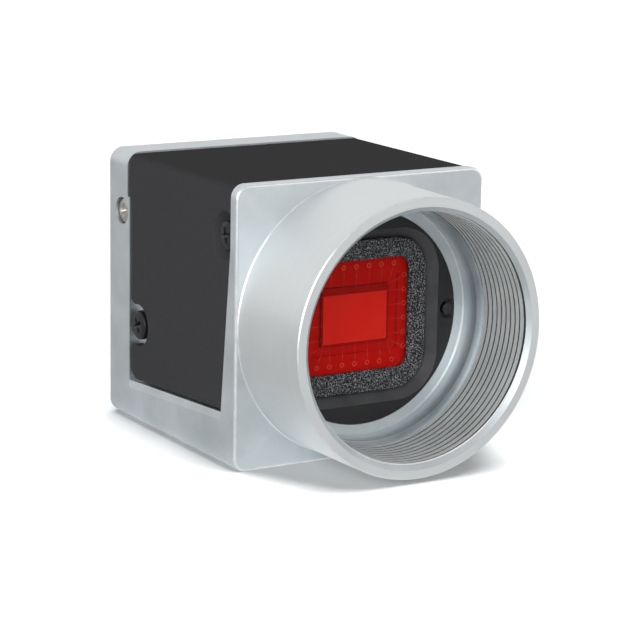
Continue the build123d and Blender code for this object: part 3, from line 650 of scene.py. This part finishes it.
# Cut cells are dark holes between pale torn walls, so the rubber is black with grey flecks. The flecks
# are partly the walls' own pale colour and partly a painted glint where they catch the light.
foam_rubber, tree, shader = finish("cellular_rubber", Roughness=0.85)
place = add(tree, "ShaderNodeTexCoord").outputs["Object"]
cells = add(
    tree, "ShaderNodeTexVoronoi", {"feature": "F1"}, {"Vector": place, "Scale": 1 / foam_bubble}
).outputs["Distance"]
fleck = add(
    tree, "ShaderNodeTexNoise", {},
    {"Vector": place, "Scale": 1 / foam_fleck, "Detail": 3.0, "Roughness": 0.7},
).outputs["Fac"]
fade = add(
    tree, "ShaderNodeMapRange", {}, {"Value": fleck, "From Min": 0.5, "From Max": 0.68}
).outputs["Result"]
tint = add(
    tree, "ShaderNodeMix", {"data_type": "RGBA"},
    {"Factor": fade, "A": linear(foam_black), "B": linear(foam_grey_and_glint)},
).outputs["Result"]
tree.links.new(tint, shader.inputs["Base Color"])
bump = add(
    tree, "ShaderNodeBump", {}, {"Height": cells, "Strength": 0.8, "Distance": 0.08 * mm}
).outputs["Normal"]
tree.links.new(bump, shader.inputs["Normal"])
foam = piece("cellular_gasket", skin("cellular_gasket", rows), foam_rubber, foam_sharp)
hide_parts("sensor_gasket")


# Sensor frame: a moulded insert of black glass-filled nylon that fills the aperture, with a funnel down
# to the gasket. Spark-eroded tool faces give it a fine matt grain, and plated pins locate it. The
# receptacles' insulators and the plugs between the boards are moulded in the same nylon.

nylon_black = "#454549"
nylon_grey = "#57575b"
painted_shade_black = "#1f1f21"
slope_normal = -0.9
front_normal = -0.99
nylon_grain = 0.09 * mm
nylon_flow = 3.0 * mm
pin_light = "#55565a"
pin_dark = "#3a3b3d"
pin_grain = 0.1 * mm

# Matt nylon looks dark grey in the light. The faces square to the lens axis are painted a deeper black:
# painted shade, darker than the slopes beside them.
black_nylon, tree, shader = finish("black_glass_filled_nylon")
place = add(tree, "ShaderNodeTexCoord").outputs["Object"]
grain = add(
    tree, "ShaderNodeTexNoise", {}, {"Vector": place, "Scale": 1 / nylon_grain, "Detail": 3.0}
).outputs["Fac"]
flow = add(
    tree, "ShaderNodeTexNoise", {}, {"Vector": place, "Scale": 1 / nylon_flow, "Detail": 3.0}
).outputs["Fac"]
fade = add(
    tree, "ShaderNodeMapRange", {}, {"Value": flow, "From Min": 0.3, "From Max": 0.7}
).outputs["Result"]
nylon = add(
    tree, "ShaderNodeMix", {"data_type": "RGBA"},
    {"Factor": fade, "A": linear(nylon_black), "B": linear(nylon_grey)},
).outputs["Result"]
normal = add(tree, "ShaderNodeTexCoord").outputs["Normal"]
facing = add(tree, "ShaderNodeSeparateXYZ", {}, {"Vector": normal})
front_shade = add(
    tree, "ShaderNodeMapRange", {},
    {"Value": facing.outputs["Y"], "From Min": slope_normal, "From Max": front_normal},
).outputs["Result"]
tint = add(
    tree, "ShaderNodeMix", {"data_type": "RGBA"},
    {"Factor": front_shade, "A": nylon, "B": linear(painted_shade_black)},
).outputs["Result"]
tree.links.new(tint, shader.inputs["Base Color"])
rough = add(
    tree, "ShaderNodeMapRange", {}, {"Value": grain, "To Min": 0.4, "To Max": 0.6}
).outputs["Result"]
tree.links.new(rough, shader.inputs["Roughness"])
bump = add(
    tree, "ShaderNodeBump", {}, {"Height": grain, "Strength": 0.25, "Distance": 0.02 * mm}
).outputs["Normal"]
tree.links.new(bump, shader.inputs["Normal"])
for node_name in (
    "sensor_frame", "usb_insulator", "io_insert",
    "front_board_plug", "front_board_socket", "rear_board_plug", "rear_board_socket",
):
    wear(node_name, black_nylon)

# Dark nickel plating is a smoky grey mirror, slightly clouded.
plated_pin, tree, shader = finish("dark_nickel", Metallic=1.0, Roughness=0.35)
place = add(tree, "ShaderNodeTexCoord").outputs["Object"]
grain = add(
    tree, "ShaderNodeTexNoise", {}, {"Vector": place, "Scale": 1 / pin_grain, "Detail": 2.0}
).outputs["Fac"]
fade = add(
    tree, "ShaderNodeMapRange", {}, {"Value": grain, "From Min": 0.3, "From Max": 0.7}
).outputs["Result"]
tint = add(
    tree, "ShaderNodeMix", {"data_type": "RGBA"},
    {"Factor": fade, "A": linear(pin_dark), "B": linear(pin_light)},
).outputs["Result"]
tree.links.new(tint, shader.inputs["Base Color"])
wear("frame_pins", plated_pin)


# Circuit boards: glass fibre with green solder resist, which shows the copper below as darker fields.
# They are stacked on the spacers behind the sensor and carry moulded chips and small parts.

resist_light = "#1d6b3c"
resist_dark = "#0d4425"
track_pitch = 0.9 * mm

# Solder resist is a glossy lacquer, darker over the copper fields than over bare glass fibre.
solder_resist, tree, shader = finish("green_solder_resist", Roughness=0.3, Coat_Weight=0.4)
place = add(tree, "ShaderNodeTexCoord").outputs["Object"]
copper = add(
    tree, "ShaderNodeTexVoronoi", {"distance": "CHEBYCHEV"}, {"Vector": place, "Scale": 1 / track_pitch}
).outputs["Distance"]
fade = add(
    tree, "ShaderNodeMapRange", {}, {"Value": copper, "From Min": 0.3, "From Max": 0.4}
).outputs["Result"]
tint = add(
    tree, "ShaderNodeMix", {"data_type": "RGBA"},
    {"Factor": fade, "A": linear(resist_dark), "B": linear(resist_light)},
).outputs["Result"]
tree.links.new(tint, shader.inputs["Base Color"])
for node_name in ("sensor_board", "processing_board", "interface_board"):
    wear(node_name, solder_resist)

# Moulded epoxy is matt black, fired capacitors are sandy brown, the oscillator's can is steel with a
# flash of gold, and spacers and stack screws are bright nickel. Each has its own faint unevenness.
for finish_name, numbers, grain_size, dark, light, node_names in (
    ("moulded_epoxy", {"Roughness": 0.5}, 0.12 * mm, "#1d1d1f", "#2b2b2e",
     ("processor_chip", "memory_chip", "power_inductors")),
    ("tinned_ceramic", {"Roughness": 0.45}, 0.2 * mm, "#a5835f", "#c0a27e", ("board_capacitors",)),
    ("gold_flashed_steel", {"Metallic": 1.0, "Roughness": 0.3}, 0.4 * mm, "#cfc2a0", "#e3d9bd",
     ("oscillator",)),
    ("nickel_plated_brass", {"Metallic": 1.0, "Roughness": 0.28}, 0.5 * mm, "#c9c6b8", "#dad8cd",
     ("front_spacers", "rear_spacers", "stack_screws")),
):
    plain_finish, tree, shader = finish(finish_name, **numbers)
    place = add(tree, "ShaderNodeTexCoord").outputs["Object"]
    grain = add(
        tree, "ShaderNodeTexNoise", {}, {"Vector": place, "Scale": 1 / grain_size, "Detail": 2.0}
    ).outputs["Fac"]
    fade = add(
        tree, "ShaderNodeMapRange", {}, {"Value": grain, "From Min": 0.3, "From Max": 0.7}
    ).outputs["Result"]
    tint = add(
        tree, "ShaderNodeMix", {"data_type": "RGBA"},
        {"Factor": fade, "A": linear(dark), "B": linear(light)},
    ).outputs["Result"]
    tree.links.new(tint, shader.inputs["Base Color"])
    for node_name in node_names:
        wear(node_name, plain_finish)


# Rear housing: the second die-casting, with the same satin skin as the front one. It caps the stack of
# boards, and the receptacles, their lock screws and the light come through its rear face.

wear("rear_housing", satin_cast)


# Receptacles: a USB one with a shell of nickel-plated pressed steel round a black insulator with two
# tongues, and a round six-pin one with a nut. Their contacts and pins are gold-plated.

nickel_light = "#d4d4d2"
nickel_dark = "#cacac8"
nickel_grain = 0.6 * mm

# Pressed nickel plate is smooth and bright, and only faintly clouded.
pressed_nickel, tree, shader = finish("nickel_plated_steel", Metallic=1.0)
place = add(tree, "ShaderNodeTexCoord").outputs["Object"]
grain = add(
    tree, "ShaderNodeTexNoise", {}, {"Vector": place, "Scale": 1 / nickel_grain, "Detail": 2.0}
).outputs["Fac"]
fade = add(
    tree, "ShaderNodeMapRange", {}, {"Value": grain, "From Min": 0.3, "From Max": 0.7}
).outputs["Result"]
tint = add(
    tree, "ShaderNodeMix", {"data_type": "RGBA"},
    {"Factor": fade, "A": linear(nickel_dark), "B": linear(nickel_light)},
).outputs["Result"]
tree.links.new(tint, shader.inputs["Base Color"])
rough = add(
    tree, "ShaderNodeMapRange", {}, {"Value": grain, "To Min": 0.26, "To Max": 0.32}
).outputs["Result"]
tree.links.new(rough, shader.inputs["Roughness"])
for node_name in ("usb_shell", "io_shell", "io_nut"):
    wear(node_name, pressed_nickel)
for node_name in ("usb_contacts", "io_pins"):
    wear(node_name, gold_plate)


# Status light: a clear acrylic pipe that carries the light of a small diode on the board to the rear.
# The pipe is moulded, so it is faintly hazy, and the diode is clear resin over a cream body.

acrylic_clear = "#f2f5f3"
acrylic_haze = "#dfe5e2"
acrylic_flow = 0.5 * mm
resin_light = "#efecd8"
resin_dark = "#dcd7bd"
resin_grain = 0.4 * mm

clear_acrylic, tree, shader = finish("clear_acrylic", IOR=1.49, Transmission_Weight=0.85)
place = add(tree, "ShaderNodeTexCoord").outputs["Object"]
haze = add(
    tree, "ShaderNodeTexNoise", {}, {"Vector": place, "Scale": 1 / acrylic_flow, "Detail": 2.0}
).outputs["Fac"]
fade = add(
    tree, "ShaderNodeMapRange", {}, {"Value": haze, "From Min": 0.3, "From Max": 0.7}
).outputs["Result"]
tint = add(
    tree, "ShaderNodeMix", {"data_type": "RGBA"},
    {"Factor": fade, "A": linear(acrylic_haze), "B": linear(acrylic_clear)},
).outputs["Result"]
tree.links.new(tint, shader.inputs["Base Color"])
rough = add(
    tree, "ShaderNodeMapRange", {}, {"Value": haze, "To Min": 0.12, "To Max": 0.25}
).outputs["Result"]
tree.links.new(rough, shader.inputs["Roughness"])
wear("light_pipe", clear_acrylic)

diode_resin, tree, shader = finish("diode_resin", Roughness=0.2, Coat_Weight=0.5)
place = add(tree, "ShaderNodeTexCoord").outputs["Object"]
haze = add(
    tree, "ShaderNodeTexNoise", {}, {"Vector": place, "Scale": 1 / resin_grain, "Detail": 2.0}
).outputs["Fac"]
fade = add(
    tree, "ShaderNodeMapRange", {}, {"Value": haze, "From Min": 0.3, "From Max": 0.7}
).outputs["Result"]
tint = add(
    tree, "ShaderNodeMix", {"data_type": "RGBA"},
    {"Factor": fade, "A": linear(resin_dark), "B": linear(resin_light)},
).outputs["Result"]
tree.links.new(tint, shader.inputs["Base Color"])
wear("status_diode", diode_resin)


# Cover: one sheet of aluminium folded over the top and both sides and finished in a fine matt black
# powder coat. The coat flows to a faint orange peel and has almost no shine.

powder_black = "#4a4a4c"
powder_grey = "#555557"
peel_size = 0.35 * mm
# Powder grains are about 0.04 mm. They are drawn coarser, so that they show.
powder_grain = 0.07 * mm

powder_coat, tree, shader = finish("black_powder_coat", Specular_IOR_Level=0.04)
place = add(tree, "ShaderNodeTexCoord").outputs["Object"]
peel = add(
    tree, "ShaderNodeTexNoise", {}, {"Vector": place, "Scale": 1 / peel_size, "Detail": 2.0}
).outputs["Fac"]
grain = add(
    tree, "ShaderNodeTexNoise", {}, {"Vector": place, "Scale": 1 / powder_grain, "Detail": 2.0}
).outputs["Fac"]
fade = add(
    tree, "ShaderNodeMapRange", {}, {"Value": grain, "From Min": 0.3, "From Max": 0.7}
).outputs["Result"]
tint = add(
    tree, "ShaderNodeMix", {"data_type": "RGBA"},
    {"Factor": fade, "A": linear(powder_black), "B": linear(powder_grey)},
).outputs["Result"]
tree.links.new(tint, shader.inputs["Base Color"])
rough = add(
    tree, "ShaderNodeMapRange", {}, {"Value": peel, "To Min": 0.85, "To Max": 1.0}
).outputs["Result"]
tree.links.new(rough, shader.inputs["Roughness"])
bump = add(
    tree, "ShaderNodeBump", {}, {"Height": peel, "Strength": 0.15, "Distance": 0.02 * mm}
).outputs["Normal"]
bump = add(
    tree, "ShaderNodeBump", {},
    {"Height": grain, "Strength": 0.12, "Distance": 0.01 * mm, "Normal": bump},
).outputs["Normal"]
tree.links.new(bump, shader.inputs["Normal"])
wear("top_cover", powder_coat)


# Side screws: M2 pan-head screws with a pressed cross recess. Two hold the cover's front and two the
# base to the rear cap, all in black oxide, and two plain stainless ones sit in the rear cap's sides.

screw_length = 4.1 * mm
head_sides = 72
head_profile = ((0.0, 1.0), (0.35, 0.93), (0.62, 0.72), (0.82, 0.4))
head_corner = 0.16
head_corner_drop = 0.75
corner_steps = 4
centre_hole = 0.0001 * mm
recess_corner = 0.13 * mm
recess_taper = 0.62
recess_arm_taper = 0.8
recess_tip_taper = 0.3
recess_tip_depth = 1.5
mouth_spread = 1.05
mouth_arm_spread = 1.03
mouth_rise = 0.06 * mm
edge_break = 0.025 * mm
oxide_light = "#2c2c30"
oxide_dark = "#1c1c1f"
oxide_grain = 0.15 * mm
steel_light = "#d2cec6"
steel_dark = "#b9b4ab"
steel_grain = 0.3 * mm

# Black oxide is thin and oiled, so the steel below still gleams through it.
black_oxide, tree, shader = finish("black_oxide_steel", Metallic=0.3)
place = add(tree, "ShaderNodeTexCoord").outputs["Object"]
grain = add(
    tree, "ShaderNodeTexNoise", {}, {"Vector": place, "Scale": 1 / oxide_grain, "Detail": 4.0}
).outputs["Fac"]
fade = add(
    tree, "ShaderNodeMapRange", {}, {"Value": grain, "From Min": 0.3, "From Max": 0.7}
).outputs["Result"]
tint = add(
    tree, "ShaderNodeMix", {"data_type": "RGBA"},
    {"Factor": fade, "A": linear(oxide_dark), "B": linear(oxide_light)},
).outputs["Result"]
tree.links.new(tint, shader.inputs["Base Color"])
rough = add(
    tree, "ShaderNodeMapRange", {}, {"Value": grain, "To Min": 0.3, "To Max": 0.5}
).outputs["Result"]
tree.links.new(rough, shader.inputs["Roughness"])

# Plain stainless steel is a warm grey and unevenly bright where the head was pressed.
stainless, tree, shader = finish("stainless_steel", Metallic=1.0)
place = add(tree, "ShaderNodeTexCoord").outputs["Object"]
grain = add(
    tree, "ShaderNodeTexNoise", {}, {"Vector": place, "Scale": 1 / steel_grain, "Detail": 4.0}
).outputs["Fac"]
fade = add(
    tree, "ShaderNodeMapRange", {}, {"Value": grain, "From Min": 0.3, "From Max": 0.7}
).outputs["Result"]
tint = add(
    tree, "ShaderNodeMix", {"data_type": "RGBA"},
    {"Factor": fade, "A": linear(steel_dark), "B": linear(steel_light)},
).outputs["Result"]
tree.links.new(tint, shader.inputs["Base Color"])
rough = add(
    tree, "ShaderNodeMapRange", {}, {"Value": grain, "To Min": 0.22, "To Max": 0.4}
).outputs["Result"]
tree.links.new(rough, shader.inputs["Roughness"])


def cross_outline(span, width, z):
    """Outline of a cross recess at one depth, with its inner corners cut off."""
    half = span / 2
    arm = width / 2
    corner = min(recess_corner, (span - width) / 6)
    quarter = ((half, -arm), (half, arm), (arm + corner, arm), (arm, arm + corner))
    points = []
    for cosine, sine in ((1, 0), (0, 1), (-1, 0), (0, -1)):
        points += [Vector((x * cosine - y * sine, x * sine + y * cosine, z)) for x, y in quarter]
    return points


def side_screws(name, node_name, material, head_radius, head_height, dome, shaft_radius,
                recess_span, recess_width, recess_depth, turned_by):
    """Both screws of one kind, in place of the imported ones."""
    low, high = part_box(node_name)
    y = (low.y + high.y) / 2
    z = (low.z + high.z) / 2
    corner = head_radius * head_corner
    points = [(share * head_radius, rise * dome - dome) for share, rise in head_profile]
    for k in range(corner_steps + 1):
        angle = math.pi / 2 * k / corner_steps
        drop = dome * head_corner_drop + corner * (1 - math.cos(angle))
        points.append((head_radius - corner + corner * math.sin(angle), -drop))
    points += [
        (head_radius, -head_height), (shaft_radius, -head_height),
        (shaft_radius, -screw_length), (0.0, -screw_length),
    ]
    spokes = [2 * math.pi * k / head_sides for k in range(head_sides)]
    rows = []
    for r, h in points:
        r = max(r, centre_hole)
        rows.append([Vector((r * math.cos(angle), r * math.sin(angle), h)) for angle in spokes])
    blank = bpy.data.objects.new(name + "_blank", skin(name + "_blank", rows, closed_ends=True))
    bottom = cross_outline(recess_span * recess_taper, recess_width * recess_arm_taper, -recess_depth)
    top = cross_outline(recess_span, recess_width, 0.0)
    above = cross_outline(recess_span * mouth_spread, recess_width * mouth_arm_spread, mouth_rise)
    tip_z = -recess_depth * recess_tip_depth
    tip = [Vector((p.x * recess_tip_taper, p.y * recess_tip_taper, tip_z)) for p in bottom]
    cross = skin(name + "_punch", [tip, bottom, top, above], closed_ends=True)
    punch = bpy.data.objects.new(name + "_punch", cross)
    for tool in (blank, punch):
        bpy.context.scene.collection.objects.link(tool)
        cleaner = bmesh.new()
        cleaner.from_mesh(tool.data)
        bmesh.ops.recalc_face_normals(cleaner, faces=cleaner.faces)
        cleaner.to_mesh(tool.data)
        cleaner.free()
    cut = blank.modifiers.new("recess", "BOOLEAN")
    cut.operation = "DIFFERENCE"
    cut.solver = "EXACT"
    cut.object = punch
    soften = blank.modifiers.new("edges", "BEVEL")
    soften.width = edge_break
    soften.segments = 2
    soften.limit_method = "ANGLE"
    soften.angle_limit = math.radians(40)
    bpy.context.view_layer.update()
    pressed = blank.evaluated_get(bpy.context.evaluated_depsgraph_get())
    shaped = bpy.data.meshes.new_from_object(pressed)
    bpy.data.objects.remove(blank)
    bpy.data.objects.remove(punch)
    meshes = []
    for sign in (1, -1):
        outward = Matrix.Rotation(sign * math.pi / 2, 4, "Y") @ Matrix.Rotation(turned_by, 4, "Z")
        copy = shaped.copy()
        copy.transform(Matrix.Translation((sign * high.x, y, z)) @ outward)
        meshes.append(copy)
    bpy.data.meshes.remove(shaped)
    screws = piece(name, joined(name, meshes), material, math.radians(30))
    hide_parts(node_name)


side_screws(
    "cover_side_screws", "cover_screws", black_oxide,
    head_radius=1.5 * mm, head_height=0.95 * mm, dome=0.14 * mm, shaft_radius=0.95 * mm,
    recess_span=1.75 * mm, recess_width=0.4 * mm, recess_depth=0.5 * mm, turned_by=0.25,
)
side_screws(
    "base_side_screws", "lower_side_screws", black_oxide,
    head_radius=1.55 * mm, head_height=1.05 * mm, dome=0.1 * mm, shaft_radius=0.95 * mm,
    recess_span=1.75 * mm, recess_width=0.4 * mm, recess_depth=0.5 * mm, turned_by=0.55,
)
side_screws(
    "cap_side_screws", "rear_side_screws", stainless,
    head_radius=1.3 * mm, head_height=0.75 * mm, dome=0.12 * mm, shaft_radius=0.95 * mm,
    recess_span=1.5 * mm, recess_width=0.36 * mm, recess_depth=0.45 * mm, turned_by=0.1,
)


# Studio: a white floor under a white surround, a large soft lamp low on the left, a weaker one in front,
# one on the right to open the shadows and a faint one above. The floor is white by its own colour to the
# eye and in mirrors, keeps the shade under the camera, and can be seen through from below.

floor_size = 4.0
floor_white = 0.79
floor_seen = 3.8
floor_mirrored = 1.35
shade_reach = 7 * mm
shade_open = 0.4
shade_floor = 0.2
floor_drop = 0.02 * mm
base_reach = floor_drop * 5
floor = bpy.data.objects.new("studio_floor", bpy.data.meshes.new("studio_floor"))
half = floor_size / 2
corners = [(-half, -half, 0), (half, -half, 0), (half, half, 0), (-half, half, 0)]
floor.data.from_pydata(corners, [], [(0, 1, 2, 3)])
floor.location.z = -floor_drop
bpy.context.scene.collection.objects.link(floor)
white_floor = bpy.data.materials.new("white_floor")
white_floor.use_nodes = True
tree = white_floor.node_tree
tree.nodes.clear()
rays = add(tree, "ShaderNodeLightPath")
mirrored = add(
    tree, "ShaderNodeMath", {"operation": "MAXIMUM"},
    {0: rays.outputs["Is Glossy Ray"], 1: rays.outputs["Is Transmission Ray"]},
).outputs[0]
white = add(
    tree, "ShaderNodeMapRange", {},
    {"Value": mirrored, "To Min": floor_white, "To Max": floor_mirrored},
).outputs["Result"]
gain = add(
    tree, "ShaderNodeMapRange", {},
    {"Value": rays.outputs["Is Camera Ray"], "To Min": 0.0, "To Max": floor_seen - floor_white},
).outputs["Result"]
white = add(tree, "ShaderNodeMath", {"operation": "ADD"}, {0: white, 1: gain}).outputs[0]
# Close to the camera's body the floor's colour is darkened for the eye by ambient occlusion: a painted
# contact shadow.
open_sky = add(
    tree, "ShaderNodeAmbientOcclusion", {"samples": 16}, {"Distance": shade_reach}
).outputs["AO"]
open_sky = add(
    tree, "ShaderNodeMapRange", {}, {"Value": open_sky, "From Min": shade_open, "To Min": shade_floor}
).outputs["Result"]
unseen = add(
    tree, "ShaderNodeMath", {"operation": "SUBTRACT"}, {0: 1.0, 1: rays.outputs["Is Camera Ray"]}
).outputs[0]
open_sky = add(tree, "ShaderNodeMath", {"operation": "MAXIMUM"}, {0: open_sky, 1: unseen}).outputs[0]
white = add(tree, "ShaderNodeMath", {"operation": "MULTIPLY"}, {0: white, 1: open_sky}).outputs[0]
matt = add(tree, "ShaderNodeBsdfDiffuse", {}, {"Color": white}).outputs["BSDF"]
# Rays from below and rays that start at the camera's base go through, or the underside would be black.
below = add(tree, "ShaderNodeNewGeometry").outputs["Backfacing"]
from_base = add(
    tree, "ShaderNodeMath", {"operation": "LESS_THAN"}, {0: rays.outputs["Ray Length"], 1: base_reach}
).outputs[0]
below = add(tree, "ShaderNodeMath", {"operation": "MAXIMUM"}, {0: below, 1: from_base}).outputs[0]
clear = add(tree, "ShaderNodeBsdfTransparent").outputs["BSDF"]
one_sided = add(tree, "ShaderNodeMixShader", {}, {0: below, 1: matt, 2: clear}).outputs["Shader"]
add(tree, "ShaderNodeOutputMaterial", {}, {"Surface": one_sided})
floor.data.materials.append(white_floor)

# The surround is plain white to the eye. Metal mirrors it a little darker in front than behind, as in a
# light tent, and matt surfaces take an even light from it that fades overhead.
sky_low = 0.72
sky_high = 0.74
sky_before = 0.74
sky_behind = 1.1
ambient = 0.42
ambient_above = 0.13
world = bpy.data.worlds.new("white_surround")
bpy.context.scene.world = world
world.use_nodes = True
tree = world.node_tree
tree.nodes.clear()
rays = add(tree, "ShaderNodeLightPath")
seen = add(
    tree, "ShaderNodeMath", {"operation": "MAXIMUM"},
    {0: rays.outputs["Is Camera Ray"], 1: rays.outputs["Is Transmission Ray"]},
).outputs[0]
way = add(tree, "ShaderNodeTexCoord").outputs["Generated"]
direction = add(tree, "ShaderNodeSeparateXYZ", {}, {"Vector": way})
up = direction.outputs["Z"]
dome = add(
    tree, "ShaderNodeMapRange", {},
    {"Value": up, "From Min": 0.05, "From Max": 0.8, "To Min": sky_low, "To Max": sky_high},
).outputs["Result"]
depth = add(
    tree, "ShaderNodeMapRange", {},
    {"Value": direction.outputs["Y"], "From Min": -0.2, "From Max": 0.7,
     "To Min": sky_before, "To Max": sky_behind},
).outputs["Result"]
dome = add(tree, "ShaderNodeMath", {"operation": "MULTIPLY"}, {0: dome, 1: depth}).outputs[0]
bounced = add(
    tree, "ShaderNodeMath", {"operation": "MULTIPLY"}, {0: dome, 1: rays.outputs["Is Glossy Ray"]}
).outputs[0]
overhead = add(
    tree, "ShaderNodeMapRange", {},
    {"Value": up, "From Min": 0.1, "From Max": 0.7, "To Min": ambient, "To Max": ambient_above},
).outputs["Result"]
plain = add(
    tree, "ShaderNodeMath", {"operation": "MULTIPLY"},
    {0: rays.outputs["Is Diffuse Ray"], 1: overhead},
).outputs[0]
level = add(tree, "ShaderNodeMath", {"operation": "ADD"}, {0: bounced, 1: plain}).outputs[0]
level = add(tree, "ShaderNodeMath", {"operation": "MAXIMUM"}, {0: level, 1: seen}).outputs[0]
sky = add(
    tree, "ShaderNodeBackground", {}, {"Color": linear("#ffffff"), "Strength": level}
).outputs["Background"]
add(tree, "ShaderNodeOutputWorld", {}, {"Surface": sky})


def softbox(name, place, size, power):
    """A square soft lamp that faces the camera body."""
    lamp = bpy.data.lights.new(name, "AREA")
    lamp.size = size
    lamp.energy = power
    held = bpy.data.objects.new(name, lamp)
    held.location = place
    aim = Vector((0, 0, axis_z)) - Vector(place)
    held.rotation_euler = aim.to_track_quat("-Z", "Y").to_euler()
    bpy.context.scene.collection.objects.link(held)


softbox("key_lamp", (-0.35, -1.0, 0.3), size=1.0, power=1.3)
softbox("left_lamp", (-0.88, -0.5, 0.18), size=1.1, power=6.6)
softbox("fill_lamp", (0.75, -0.6, 0.22), size=0.9, power=2.1)
softbox("top_lamp", (0.1, -0.5, 0.9), size=0.8, power=0.2)


# Photograph's camera: it looks from the front left and a little above, with a slight roll.

view_azimuth = math.radians(-31.11)
view_elevation = math.radians(12.54)
view_roll = math.radians(1.01)
view_distance = 258.23 * mm
view_target = Vector((-1.19, -8.0, 13.15)) * mm
sensor_width = 36.0
picture_pixels = 640
focal_pixels = 2501.45
nearest_seen = 10.0 * mm

back = Vector((
    math.sin(view_azimuth) * math.cos(view_elevation),
    -math.cos(view_azimuth) * math.cos(view_elevation),
    math.sin(view_elevation),
))
right = Vector((math.cos(view_azimuth), math.sin(view_azimuth), 0))
up = back.cross(right)
rolled_right = math.cos(view_roll) * right + math.sin(view_roll) * up
rolled_up = math.cos(view_roll) * up - math.sin(view_roll) * right
viewer = bpy.data.objects.new("photo_camera", bpy.data.cameras.new("photo_camera"))
viewer.data.sensor_width = sensor_width
viewer.data.lens = sensor_width * focal_pixels / picture_pixels
viewer.data.clip_start = nearest_seen
turn = Matrix((rolled_right, rolled_up, back)).transposed().to_4x4()
viewer.matrix_world = Matrix.Translation(view_target + back * view_distance) @ turn
bpy.context.scene.collection.objects.link(viewer)
bpy.context.scene.camera = viewer
bpy.context.scene.view_settings.view_transform = "Standard"
